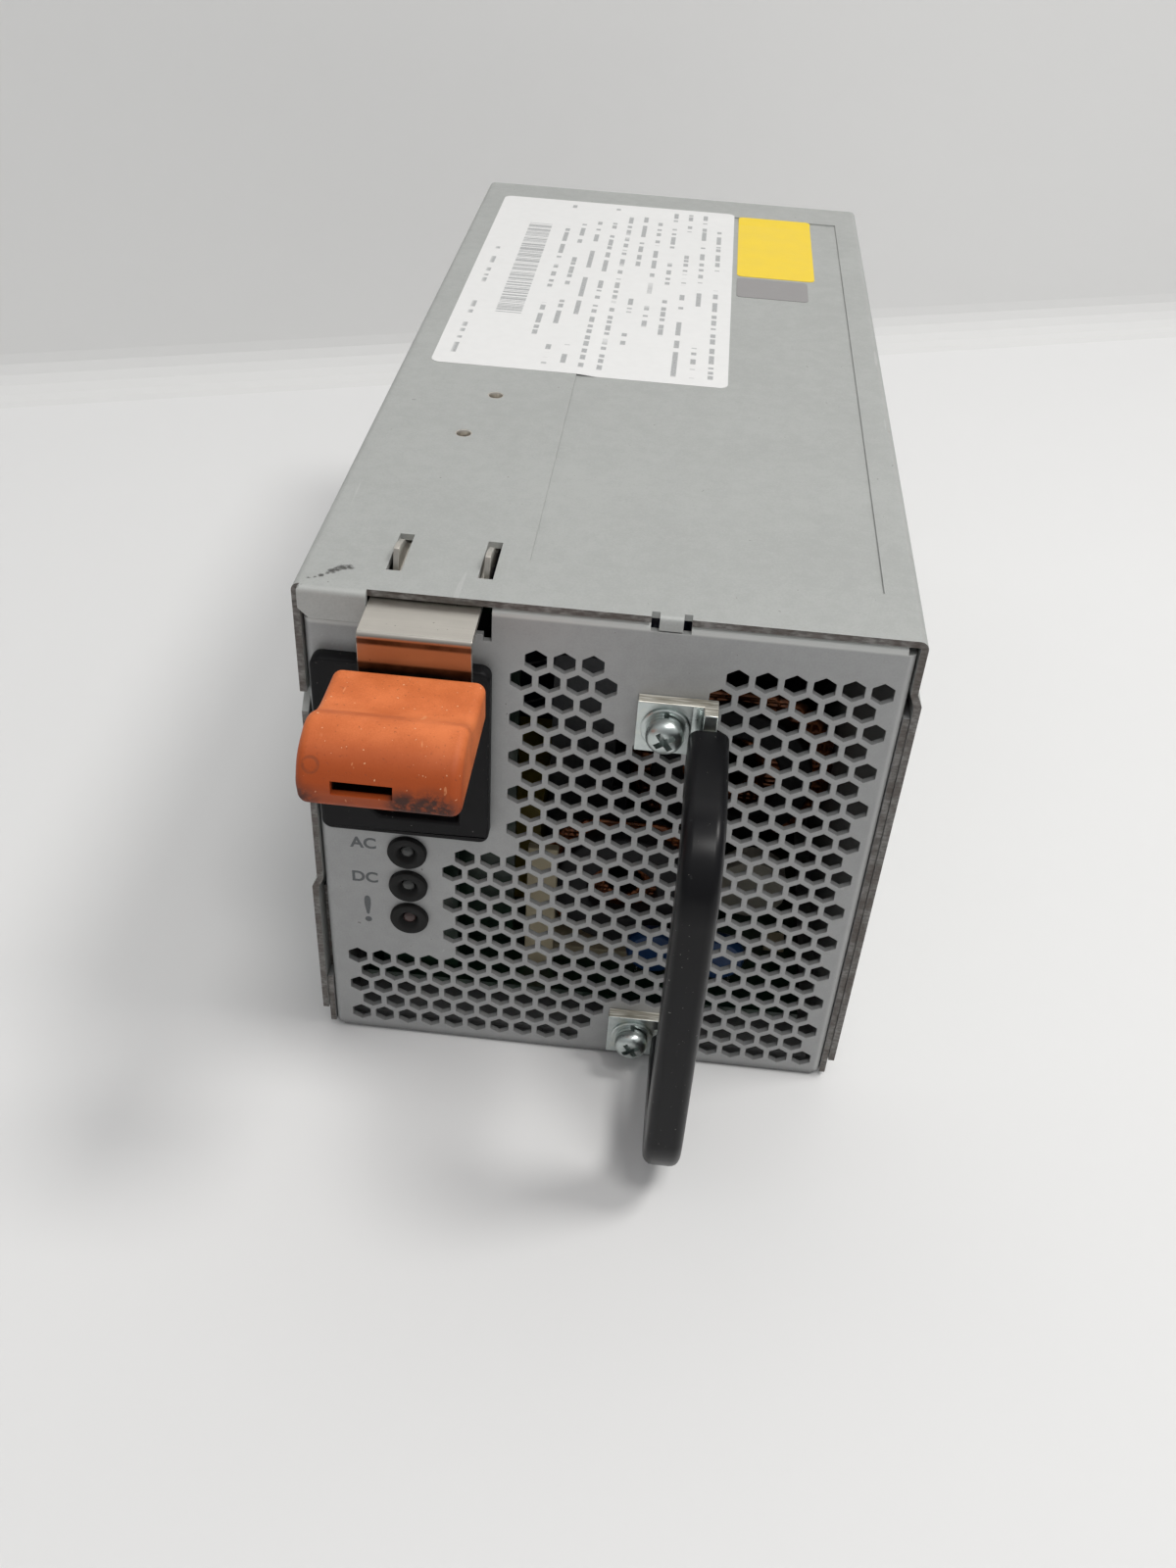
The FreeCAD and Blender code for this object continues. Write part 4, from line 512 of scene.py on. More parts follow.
FINISHES = {
    "panel": panel_steel(),
    "sheet": sheet_steel("tray_steel", (0.385, 0.388, 0.388)),
    "sheared": sheared_zinc(),
    "cover": cover_steel(),
    "cut": cut_steel(),
    "zinc": zinc_plate(),
    "nickel": nickel_spring(),
    "contact": contact_metal(),
    "sink": heat_sink(),
    "wire": enamelled_wire(),
    "ferrite": core_iron("ferrite", (0.022, 0.022, 0.023)),
    "laminations": core_iron("laminations", (0.10, 0.095, 0.09)),
    "black": moulded("black_plastic", (0.0035, 0.0035, 0.0042), dust=0.25, shine=0.18),
    "bezel": moulded("bezel_plastic", (0.006, 0.006, 0.006), roughness=0.50, shine=0.25),
    "fan": moulded("fan_plastic", (0.014, 0.014, 0.015), roughness=0.38),
    "orange": orange_grip(),
    "rubber": sleeve_rubber(),
    "board": circuit_board(),
    "tape": wound_tape(),
    "can": can_sleeve(),
    "blue": moulded("blue_epoxy", (0.008, 0.040, 0.125), roughness=0.25, texture=1.5),
    "nylon": moulded("natural_nylon", (0.46, 0.40, 0.27), roughness=0.45),
    "film": moulded("film_box", (0.27, 0.21, 0.035), roughness=0.30),
    "epoxy": moulded("black_epoxy", (0.016, 0.016, 0.018), roughness=0.40),
    "relay": moulded("relay_case", (0.030, 0.032, 0.036), roughness=0.35),
    "ceramic": moulded("glazed_ceramic", (0.42, 0.40, 0.34), roughness=0.22, texture=1.2),
    "insulation": moulded("insulating_film", (0.040, 0.040, 0.038), roughness=0.40, texture=2.0),
    "lens": lamp_lens(),
    "brass": core_iron("sintered_brass", (0.30, 0.20, 0.07)),
    "label": printed_label(),
    "yellow": film_label("yellow_film", (0.88, 0.63, 0.012)),
    "silver": film_label("silver_film", (0.32, 0.31, 0.31), 0.3),
    "ink": panel_ink(),
}


# ---------------------------------------------------------------- making pieces

def linked(name, data):
    """An object in the scene, at the origin."""
    piece = bpy.data.objects.new(name, data)
    bpy.context.scene.collection.objects.link(piece)
    return piece


def new_piece(name, form):
    """A piece from a bmesh, at the origin."""
    mesh = bpy.data.meshes.new(name)
    form.to_mesh(mesh)
    form.free()
    return linked(name, mesh)


def opened(mesh):
    """A bmesh of a mesh."""
    form = bmesh.new()
    form.from_mesh(mesh)
    return form


def plain_mesh(holder):
    """What an object shows, as a mesh: its modifiers or its letters made real."""
    return bpy.data.meshes.new_from_object(
        holder.evaluated_get(bpy.context.evaluated_depsgraph_get()))


def baked(piece):
    """Turns a piece's modifiers into its plain mesh."""
    mesh = plain_mesh(piece)
    piece.modifiers.clear()
    piece.data = mesh
    return piece


def modified(piece, kind, **settings):
    """Runs one modifier on a piece."""
    modifier = piece.modifiers.new(kind.lower(), kind)
    for name, value in settings.items():
        setattr(modifier, name, value)
    return baked(piece)


def bevelled(piece, width, segments=2, angle=SHARP):
    """Rounds the sharp edges of a piece by width millimetres."""
    return modified(piece, "BEVEL", width=width * MM, segments=segments, limit_method="ANGLE",
                    angle_limit=math.radians(angle))


def shaded(piece, angle):
    """Smooth shading that breaks at edges sharper than the angle."""
    form = opened(piece.data)
    for face in form.faces:
        face.smooth = True
    limit = math.radians(angle)
    for edge in form.edges:
        edge.smooth = len(edge.link_faces) == 2 and edge.calc_face_angle(0.0) < limit
    form.to_mesh(piece.data)
    form.free()


def dressed(piece, finish, slot, *nodes, body="case", angle=SHARP):
    """Gives a piece its finish and shading, and joins it to its CAD body."""
    if not piece.data.materials:
        piece.data.materials.append(FINISHES[finish].material)
    shaded(piece, angle)
    modified(piece, "WEIGHTED_NORMAL", keep_sharp=True)
    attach(piece, body)
    if nodes:
        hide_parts(*nodes)
    return piece


def kept(finish, *nodes):
    """CAD nodes that stay as they are, under a finish of their own."""
    for node in nodes:
        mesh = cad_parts[node].data
        mesh.materials.clear()
        mesh.materials.append(FINISHES[finish].material)


def merged(node):
    """A bmesh of a CAD node with its points merged."""
    form = opened(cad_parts[node].data)
    bmesh.ops.remove_doubles(form, verts=form.verts, dist=MERGE)
    return form


def refined(node, finish, slot, width, segments=2, dissolve=True, cut=None, bare="cut",
            folds=(), body="case", angle=SHARP):
    """A CAD node with rounded edges and an even shading; cut picks its sheared faces."""
    form = merged(node)
    if dissolve:
        bmesh.ops.dissolve_limit(form, angle_limit=math.radians(0.5), verts=form.verts,
                                 edges=form.edges)
    piece = new_piece(node + "_finish", form)
    for fold in folds:
        folded(piece, *fold)
    piece.data.materials.append(FINISHES[finish].material)
    if cut:
        piece.data.materials.append(FINISHES[bare].material)
        for face in piece.data.polygons:
            if cut(on_case(face.center), face.normal):
                face.material_index = 1
    bevelled(piece, width, segments, angle)
    dressed(piece, finish, slot, node, body=body, angle=angle)


def folded(piece, left, right, front, top, radius, steps=4):
    """Rounds a square front edge into a fold between two places across the case."""
    form = opened(piece.data)
    for step in range(steps + 1):
        inward = radius * step / steps
        for place, normal in ((at(0, front + inward, 0), (0, 1, 0)),
                              (at(0, 0, top - radius + inward), (0, 0, 1))):
            near = [face for face in form.faces
                    if any(on_case(vertex.co).y < front + radius + 0.01 for vertex in face.verts)
                    and any(on_case(vertex.co).z > top - radius - 0.01 for vertex in face.verts)]
            geometry = list({part for face in near
                             for part in (*face.verts, *face.edges, face)})
            bmesh.ops.bisect_plane(form, geom=geometry, plane_co=place, plane_no=normal)
    for vertex in form.verts:
        place = on_case(vertex.co)
        ahead = (front + radius - place.y) / radius
        above = (place.z - top) / radius + 1
        if left < place.x < right and ahead > 0.001 and above > 0.001:
            pull = max(ahead, above) / math.hypot(ahead, above)
            vertex.co = at(place.x, front + radius - ahead * pull * radius,
                           top - radius + above * pull * radius)
    form.to_mesh(piece.data)
    form.free()


def skinned(name, rows, kind="capped"):
    """A skin over rows of points in metres.

    A capped skin has a flat face at both ends, a turned one ends in single points, a ring meets
    its first row again, and a sheet is open all round.
    """
    form = bmesh.new()
    lines = [[form.verts.new(point) for point in row] for row in rows]
    pairs = list(zip(lines, lines[1:]))
    if kind == "ring":
        pairs.append((lines[-1], lines[0]))
    for lower, upper in pairs:
        sides = max(len(lower), len(upper))
        for number in range(sides - 1 if kind == "sheet" else sides):
            following = (number + 1) % sides
            corners = [lower[number % len(lower)], lower[following % len(lower)],
                       upper[following % len(upper)], upper[number % len(upper)]]
            form.faces.new(list(dict.fromkeys(corners)))
    if kind == "capped":
        form.faces.new(lines[0])
        form.faces.new(lines[-1])
    if kind != "sheet":
        bmesh.ops.recalc_face_normals(form, faces=form.faces)
    return new_piece(name, form)


FORWARD = Matrix(((1, 0, 0), (0, 0, -1), (0, 1, 0)))


def turned(name, profile, axis="Y", sides=40, kind="turned"):
    """Revolves (radius, height) points, in millimetres, about an axis through the origin."""
    lean = FORWARD if axis == "Y" else Matrix.Identity(3)
    turns = [2 * math.pi * number / sides for number in range(sides)]
    rows = [[lean @ Vector((radius * math.cos(turn), radius * math.sin(turn), height)) * MM
             for turn in (turns if radius else turns[:1])] for radius, height in profile]
    return skinned(name, rows, kind)


def slab(name, outline, low, high, axis="Z"):
    """A flat plate: an outline in millimetres extruded from low to high along an axis."""
    return skinned(name, [[Vector((u, w, v) if axis == "Y" else (u, v, w)) * MM
                           for u, v in outline] for w in (low, high)])


def arc(u, v, radius, start, stop, steps):
    """The points of an arc between two turns in degrees, each with its own turn."""
    turns = [start + (stop - start) * step / steps for step in range(steps + 1)]
    return [(u + radius * math.cos(math.radians(turn)), v + radius * math.sin(math.radians(turn)),
             turn) for turn in turns]


def rounded_outline(left, low, width, height, radius, steps=6):
    """The outline of a rectangle with round corners."""
    near, far = (left + radius, low + radius), (left + width - radius, low + height - radius)
    centres = (far, (near[0], far[1]), near, (far[0], near[1]))
    return [point[:2] for number, centre in enumerate(centres)
            for point in arc(*centre, radius, 90 * number, 90 * number + 90, steps)]


def rounded_path(corners, steps=7):
    """A closed outline of corners, each a place and the radius that rounds it."""
    path = []
    for number, (u, v, radius) in enumerate(corners):
        here = Vector((u, v))
        before = (Vector(corners[number - 1][:2]) - here).normalized()
        after = (Vector(corners[(number + 1) % len(corners)][:2]) - here).normalized()
        half = before.angle(after) / 2
        middle = here + (before + after).normalized() * radius / math.sin(half)
        first, last = ((here + way * radius / math.tan(half) - middle).normalized()
                       for way in (before, after))
        path += [middle + first.slerp(last, step / steps).normalized() * radius
                 for step in range(steps + 1)]
    return path


def moved(piece, offset):
    """Shifts a piece's mesh; its object stays at the origin."""
    piece.data.transform(Matrix.Translation(offset))
    return piece


def spun(piece, turn, axis="Z"):
    """Turns a piece's mesh about an axis; its object stays unturned."""
    piece.data.transform(Matrix.Rotation(turn, 4, axis))
    return piece


def joined(name, pieces):
    """One piece from several plain meshes."""
    form = bmesh.new()
    for piece in pieces:
        form.from_mesh(piece.data)
        bpy.data.objects.remove(piece)
    return new_piece(name, form)


def carved(piece, tools):
    """Cuts tools out of a piece."""
    for tool in tools:
        modified(piece, "BOOLEAN", operation="DIFFERENCE", solver="EXACT", object=tool)
        bpy.data.objects.remove(tool)
    return piece


# ---------------------------------------------------------------- repeated pieces

class Pattern(Tree):
    """A Geometry Nodes tree with named inputs, run once and turned into a plain mesh."""

    def __init__(self, name, **inputs):
        self.group = bpy.data.node_groups.new(name, "GeometryNodeTree")
        super().__init__(self.group)
        inputs = {"Places": "Geometry", **inputs, "Finish": "Material"}
        self.names = {label: self.group.interface.new_socket(
            label, in_out="INPUT", socket_type="NodeSocket" + kind).identifier
            for label, kind in inputs.items()}
        self.group.interface.new_socket("Result", in_out="OUTPUT",
                                        socket_type="NodeSocketGeometry")
        self.entry = self.tree.nodes.new("NodeGroupInput")

    def given(self, label):
        return Value(self, self.entry.outputs[label])

    def step(self, kind, output=0, settings=None, **sockets):
        """A geometry node; an underscore in a socket's name stands for a space."""
        named = {name.replace("_", " "): value for name, value in sockets.items()}
        return self.node("GeometryNode" + kind, settings, named, output)

    def ends(self, geometry):
        """Closes the tree: real meshes with the given finish."""
        real = self.step("RealizeInstances", Geometry=geometry)
        finished = self.step("SetMaterial", Geometry=real, Material=self.given("Finish"))
        self.tree.links.new(finished.socket, self.tree.nodes.new("NodeGroupOutput").inputs[0])

    def made(self, name, places, finish, **values):
        """Runs the tree over places in metres."""
        form = bmesh.new()
        for place in places:
            form.verts.new(place)
        host = new_piece(name, form)
        run = host.modifiers.new("pattern", "NODES")
        run.node_group = self.group
        for label, value in {**values, "Finish": FINISHES[finish].material}.items():
            run[self.names[label]] = value
        return baked(host)


COPIES = Pattern("copies_at_places", Template="Object")
COPIES.ends(COPIES.step(
    "InstanceOnPoints", Points=COPIES.step("MeshToPoints", Mesh=COPIES.given("Places")),
    Instance=COPIES.step("ObjectInfo", "Geometry", Object=COPIES.given("Template"))))


def repeated(name, template, places, finish, slot, *nodes):
    """A template, made at the origin, at each of several places, as one piece."""
    piece = COPIES.made(name, places, finish, Template=template)
    bpy.data.objects.remove(template)
    dressed(piece, finish, slot, *nodes)


def toroid_turns():
    """Wire turns laid side by side round a toroid that lies about the Y axis."""
    turns = Pattern("toroid_turns", Ring="Float", Turns="Int", Opening="Float", Across="Float",
                    Deep="Float", Wire="Float")
    opening, thick = turns.given("Opening"), turns.given("Wire")
    arc_line = turns.step("CurveArc", settings={"mode": "RADIUS"}, Resolution=turns.given("Turns"),
                          Radius=turns.given("Ring"), Start_Angle=opening * 0.5,
                          Sweep_Angle=2 * math.pi - opening)
    loop = turns.step("CurvePrimitiveQuadrilateral", settings={"mode": "RECTANGLE"},
                      Width=turns.given("Across"), Height=turns.given("Deep"))
    loop = turns.step("FilletCurve", settings={"mode": "POLY"}, Curve=loop, Radius=thick, Count=3)
    wire = turns.step("CurvePrimitiveCircle", Resolution=7, Radius=thick)
    stand, rotation = (turns.step("CurveToPoints", output, {"mode": "EVALUATED"}, Curve=arc_line)
                       for output in ("Points", "Rotation"))
    ring = turns.step("InstanceOnPoints", Points=stand, Rotation=rotation, Instance=turns.step(
        "CurveToMesh", Curve=loop, Profile_Curve=wire))
    turns.ends(turns.step("Transform", Geometry=ring, Rotation=(math.pi / 2, 0.0, 0.0)))
    return turns


def node_solids(node):
    """The lowest and highest corner of each solid of a CAD node, in order of height."""
    form = merged(node)
    left = set(form.verts)
    found = []
    while left:
        front = [left.pop()]
        island = list(front)
        while front:
            reached = {edge.other_vert(vertex) for vertex in front for edge in vertex.link_edges}
            front = [vertex for vertex in reached if vertex in left]
            left.difference_update(front)
            island += front
        found.append([Vector(map(pick, zip(*(vertex.co for vertex in island))))
                      for pick in (min, max)])
    form.free()
    return sorted(found, key=lambda corners: (round(corners[0].z, 5), corners[0].x, corners[0].y))


def middles(node, y=None, z=None):
    """The middle of each solid of a node, at a chosen Y or Z where one is given."""
    places = [(low + high) / 2 for low, high in node_solids(node)]
    return [Vector((place.x, place.y if y is None else y, place.z if z is None else z))
            for place in places]


def half_size(low, high):
    """Half the extent between two corners, in millimetres."""
    return (high - low) / 2 / MM


# ---------------------------------------------------------------- case

def dress_case():
    """Cover, tray and panels: rounded folds, and bare metal where the sheet was sheared."""
    def sheared(place, normal):
        return abs(normal.y) > 0.9 and place.z > 1.5

    def cover_edge(place, normal):
        lip = 1.0 < place.x < LIP_RIGHT and place.z > ROOF - 4.8
        tab = TAB_LEFT < place.x < TAB_RIGHT
        return sheared(place, normal) and place.y < 0.6 and not lip and not tab

    refined("top_cover", "cover", "sheet_steel", 0.10, cut=cover_edge,
            folds=((0.9, LIP_RIGHT + 0.1, LIP_FRONT, ROOF, 0.95),
                   (TAB_LEFT, TAB_RIGHT, 0.0, ROOF, 0.95)))
    refined("chassis_tray", "sheet", "sheet_steel", 0.10, cut=sheared)
    refined("rear_panel", "sheet", "sheet_steel", 0.08)
    refined("front_panel", "panel", "sheet_steel", 0.09, segments=1, dissolve=False,
            cut=lambda place, normal: place.y > 7.0 and normal.y > 0.9)


def dress_labels():
    """A large white label, a yellow and a silver one, all without words or signs.

    They follow the roof, which is pressed lower to the right of an edge, as far as its rear.
    """
    slope, edge, rear, sunk = 4.5, 31.0, 174.0, 0.29
    labels = (
        ("label_white", "label", 5.1, 77.8, 53.1, 98.2, 1.6),
        ("label_yellow", "yellow", 59.2, 136.0, 16.2, 38.4, 1.2),
        ("label_silver", "silver", 59.2, 124.0, 14.6, 11.0, 1.0),
    )
    for name, finish, *sizes, radius in labels:
        flat = slab(name, rounded_outline(*sizes, radius), ROOF - 0.02, ROOF + 0.07)
        form = opened(flat.data)
        bpy.data.objects.remove(flat)
        for axis, first in ((0, edge), (1, rear - slope)):
            for step in range(9):
                place, normal = Vector(), Vector()
                place[axis], normal[axis] = (first + slope * step / 8) * MM, 1.0
                geometry = form.verts[:] + form.edges[:] + form.faces[:]
                bmesh.ops.bisect_plane(form, geom=geometry, plane_co=place, plane_no=normal)
        for vertex in form.verts:
            into = min(1.0, max(0.0, (vertex.co.x / MM - edge) / slope))
            within = min(1.0, max(0.0, (rear - vertex.co.y / MM) / slope))
            vertex.co.z -= sunk * MM * into * into * (3 - 2 * into) * within
        dressed(moved(new_piece(name, form), at(0, 0, 0)), finish, "sheet_steel", angle=60.0)


def dress_inlet():
    """The inlet's moulded housing and its pins."""
    refined("inlet_housing", "black", "black_plastic", 0.45, segments=3)
    refined("inlet_pins", "contact", "contact_metal", 0.45, segments=3)


def dress_lamps():
    """Three lamps: a flat bezel with a shallow moat, and a small lens standing in it."""
    places = middles("lamp_bezels", panel_low.y)
    face = [(3.1, 0.0), (3.1, 0.60), (2.95, 0.84), (2.70, 0.90), (1.85, 0.86), (1.60, 0.70),
            (1.30, 0.10), (1.16, 0.0), (1.16, -5.9), (2.35, -5.9), (2.35, 0.0)]
    repeated("lamp_bezel_set", turned("bezel", face, sides=48, kind="ring"), places, "bezel",
             "black_plastic", "lamp_bezels")
    dome = [(0.0, 0.52), (0.40, 0.50), (0.78, 0.38), (1.02, 0.14), (1.12, -0.30), (1.12, -5.8),
            (0.0, -5.8)]
    repeated("lamp_lens_set", turned("lens", dome, sides=24), places, "lens", "clear_plastic",
             "lamp_lenses")


def dress_marks():
    """Generic marks beside the lamps: AC, DC and an exclamation mark."""
    marks = (("AC", 2.15, 7.9, 43.5), ("DC", 2.15, 7.8, 36.3), ("!", 5.8, 8.0, 29.3))
    letters = []
    for words, height, across, level in marks:
        curve = bpy.data.curves.new("mark", "FONT")
        curve.body = words
        curve.size = height * MM * 1.38
        curve.align_x = curve.align_y = "CENTER"
        curve.extrude = 0.01 * MM
        curve.offset = 0.08 * MM
        holder = linked("mark", curve)
        letter = linked("mark", plain_mesh(holder))
        bpy.data.objects.remove(holder)
        low, high = (pick(vertex.co.y for vertex in letter.data.vertices) for pick in (min, max))
        spun(moved(letter, (0, -(low + high) / 2, 0)), math.pi / 2, "X")
        letters.append(moved(letter, at(across, -0.012, level)))
    dressed(joined("lamp_marks", letters), "ink", "sheet_steel")


# ---------------------------------------------------------------- handle

def handle_path(low, high, half):
    """Middle line of the sleeve in its Y and Z plane, with the way out of the D at each point."""
    front, top, foot = low.y + half, high.z - half, low.z + half
    upper, lower = 12.0 - half, 13.5 - half
    return [(high.y, top, 90.0), *arc(front + upper, top - upper, upper, 90, 180, 10),
            *arc(front + lower, foot + lower, lower, 180, 270, 10), (high.y, foot, 270.0)]


def dress_handle():
    """A dipped sleeve of round-cornered section round the stamped plate."""
    low, high = case_box("handle_sleeve")
    middle, half_width, half_depth = (low.x + high.x) / 2, (high.x - low.x) / 2, 4.0
    section = rounded_outline(-half_width, -half_depth, 2 * half_width, 2 * half_depth, 1.5, 5)
    path = handle_path(low, high, half_depth)
    mouth = ((0.0, 0.30), (0.10, 0.10), (0.30, 0.0))
    stations = [(path[0], step, shrink) for step, shrink in mouth]
    stations += [(point, 0.0, 0.0) for point in path[1:-1]]
    stations += [(path[-1], step, shrink) for step, shrink in reversed(mouth)]
    rows = []
    for (y, z, turn), step, shrink in stations:
        out = Vector((0.0, math.cos(math.radians(turn)), math.sin(math.radians(turn))))
        centre = Vector((middle, y - step, z))
        wide, deep = 1 - shrink / half_width, 1 - shrink / half_depth
        rows.append([at(*(centre + Vector((u * wide, 0, 0)) + out * v * deep))
                     for u, v in section])
    dressed(skinned("handle_sleeve_finish", rows), "rubber", "soft_sleeve", "handle_sleeve",
            angle=50.0)
    refined("handle_plate", "zinc", "zinc_plate", 0.22, segments=3, bare="sheared",
            cut=lambda place, normal: normal.z > 0.9)
    root, ear, bend = 57.7, -2.0, 1.5
    corner = [(root + 0.1, ear + 0.1), (root - bend, ear + 0.1),
              *(point[:2] for point in arc(root - bend, ear - bend, bend, 90, 0, 6)),
              (root + 0.1, ear - bend)]
    fillets = [slab("fillet", corner, foot, foot + 6.2) for foot in (70.5, 3.5)]
    dressed(moved(joined("handle_plate_bends", fillets), at(0, 0, 0)), "zinc", "zinc_plate",
            angle=40.0)


def pan_head(radius, height, shank, length):
    """A cross-recessed screw about the Y axis: its seat is at 0, its head stands out to -Y."""
    profile = [(0.0, height), (radius * 0.45, height * 0.98), (radius * 0.75, height * 0.86),
               (radius * 0.93, height * 0.62), (radius, height * 0.30), (radius, 0.08),
               (radius * 0.97, 0.0), (shank, 0.0), (shank, 0.4 - length),
               (shank * 0.7, -length), (0.0, -length)]
    depth, reach, width = 0.70 * height, radius * 0.78, radius * 0.32
    taper = [(-reach, depth), (-reach * 0.55, -depth), (reach * 0.55, -depth), (reach, depth)]
    arms = []
    for number in range(2):
        arm = spun(slab("arm", taper, -width / 2, width / 2, "Y"),
                   math.pi / 2 * number + math.pi / 5)
        arm.data.transform(FORWARD.to_4x4())
        arms.append(moved(arm, Vector((0, -height * MM, 0))))
    return carved(turned("screw", profile), arms)


def split_washer(inner, outer, thickness, gap=14.0, rise=0.25, sides=44):
    """A spring washer about the Y axis: a flat wire ring cut through and slightly sprung."""
    rows = []
    for number in range(sides + 1):
        share = number / sides
        turn = math.radians(90 + gap / 2 + (360 - gap) * share)
        low = (share - 0.5) * rise
        high = low + thickness
        rows.append([Vector((radius * math.cos(turn), -height, radius * math.sin(turn))) * MM
                     for radius, height in ((inner, low), (outer, low), (outer, high),
                                            (inner, high))])
    return skinned("split", rows)


def dress_handle_screws():
    """Two screws with a split and a flat washer each, and the nuts behind the panel."""
    flat_front, flat_back = (corner.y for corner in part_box("flat_washers"))
    rim = [(1.55, 0.0), (1.55, 0.5), (3.35, 0.5), (3.5, 0.38), (3.5, 0.12), (3.35, 0.0)]
    for name, template, seat in (
            ("handle_screw", pan_head(2.75, 2.1, 1.5, 8.0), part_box("spring_washers")[0].y),
            ("spring_washer", bevelled(split_washer(1.55, 2.7, 0.62), 0.08),
             flat_front - 0.12 * MM),
            ("flat_washer", turned("washer", rim, sides=48, kind="ring"), flat_back)):
        repeated(name + "_set", template, middles("handle_screws", seat), "zinc", "zinc_plate",
                 name + "s")
    refined("handle_nuts", "zinc", "zinc_plate", 0.15)


# ---------------------------------------------------------------- latch

def dress_grip():
    """The moulded grip: a hollow behind its crest, a full nose, and a window under the tongue."""
    low, high = case_box("latch_grip")
    side = rounded_path([
        (high.y, low.z, 1.4), (high.y, 83.2, 1.4), (-19.2, 83.6, 10.0), (-24.5, 86.5, 4.4),
        (-30.3, 84.4, 5.2), (low.y + 0.1, 80.5, 3.0), (-31.2, low.z, 2.0)])
    ways = [(side[(number + 1) % len(side)] - side[number - 1]).normalized()
            for number in range(len(side))]
    soft = 1.35
    ends = [(soft * run, soft * inset) for run, inset, _ in arc(1.0, 1.0, -1.0, 0, 90, 6)]
    stations = [(low.x + run, inset) for run, inset in ends]
    stations += [(high.x - run, inset) for run, inset in reversed(ends)]
    grip = skinned("latch_grip_finish", [
        [at(x, point.x - way.y * inset, point.y + way.x * inset)
         for point, way in zip(side, ways)] for x, inset in stations])
    hollows = (
        (10.9, 23.1, -25.7, high.y + 1, 80.9, 81.9),
        (12.4, 20.1, low.y - 1, -25.7, 79.6, 81.5),
        (12.5, 20.0, -30.6, -25.8, 77.5, 80.0),
    )
    tools = [moved(slab("hollow", [(left, front), (right, front), (right, back), (left, back)],
                        foot, head), at(0, 0, 0))
             for left, right, front, back, foot, head in hollows]
    bevelled(carved(grip, tools), 0.12, 2, 50.0)
    dressed(grip, "orange", "orange_plastic", "latch_grip", body="latch", angle=40.0)


def dress_latch():
    """The sprung leaf with its hooks, the grip on its tongue and its tubular rivets."""
    refined("latch_arm", "nickel", "spring_steel", 0.16, segments=3, body="latch")
    refined("latch_root", "nickel", "spring_steel", 0.10)
    dress_grip()
    bottom, top = (corner.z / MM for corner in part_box("latch_rivets"))
    profile = [(1.05, bottom), (1.45, bottom), (1.45, top - 0.02), (1.38, top),
               (1.18, top - 0.05), (1.05, top - 0.3)]
    repeated("latch_rivet_set", turned("rivet", profile, "Z", 36, "ring"),
             middles("latch_rivets", z=0.0), "nickel", "spring_steel", "latch_rivets")


# ---------------------------------------------------------------- boards and components

def dress_cans(node, name):
    """Capacitor cans on the board: rolled edge, crimp groove and vented top."""
    low, high = node_solids(node)[0]
    radius, _, half = half_size(low, high)
    height = 2 * half
    can = [(0.0, 0.0), (radius * 0.93, 0.0), (radius, radius * 0.07), (radius, 1.3),
           (radius * 0.94, 1.7), (radius * 0.94, 2.1), (radius, 2.5),
           (radius, height - radius * 0.08), (radius * 0.95, height),
           (radius * 0.84, height), (radius * 0.82, height - 0.25), (0.0, height - 0.25)]
    repeated(name, turned("can", can, "Z", 32), middles(node, z=low.z), "can", "can_sleeve", node)


def dress_discs():
    """Two coated disc capacitors with their leads."""
    low, high = node_solids("blue_capacitors")[0]
    radius, half, _ = half_size(low, high)
    swell = [(0.0, -half), (radius * 0.6, -half), (radius * 0.88, -half * 0.8),
             (radius * 0.98, -half * 0.4), (radius, 0.0), (radius * 0.98, half * 0.4),
             (radius * 0.88, half * 0.8), (radius * 0.6, half), (0.0, half)]
    places = middles("blue_capacitors", z=high.z - radius * MM)
    repeated("blue_disc_set", turned("disc", swell), places, "blue", "blue_coating",
             "blue_capacitors")
    leg = [(0.0, 0.0), (0.3, 0.0), (0.3, 6.0), (0.0, 6.0)]
    feet = [Vector((place.x + side * 2.5 * MM, place.y, low.z))
            for place in places for side in (-1, 1)]
    repeated("blue_disc_leads", turned("leg", leg, "Z", 10), feet, "contact", "contact_metal")


def dress_toroid(core, coils, name, bore, wire, turns, opening):
    """A wound toroid: a coated ring, and wire turns on each stretch of it."""
    low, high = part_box(core)
    centre = (low + high) / 2
    outer, half, _ = half_size(low, high)
    inner = outer * bore
    ring = [(inner, -half), (outer, -half), (outer, half), (inner, half)]
    piece = bevelled(turned("core", ring, sides=64, kind="ring"), 0.6, 3)
    piece.name = name + "_core"
    dressed(moved(piece, centre), "ferrite", "ferrite", core)
    span = outer - inner
    host = toroid_turns().made(
        name + "_wire", [Vector()], "wire", Ring=(inner + span / 2) * MM, Turns=turns,
        Opening=math.radians(opening), Across=(span + wire * 1.1) * MM,
        Deep=(2 * half + wire * 1.1) * MM, Wire=wire / 2 * MM)
    moved(spun(host, math.pi / 2, "Y"), centre)
    dressed(host, "wire", "copper", coils, angle=80.0)


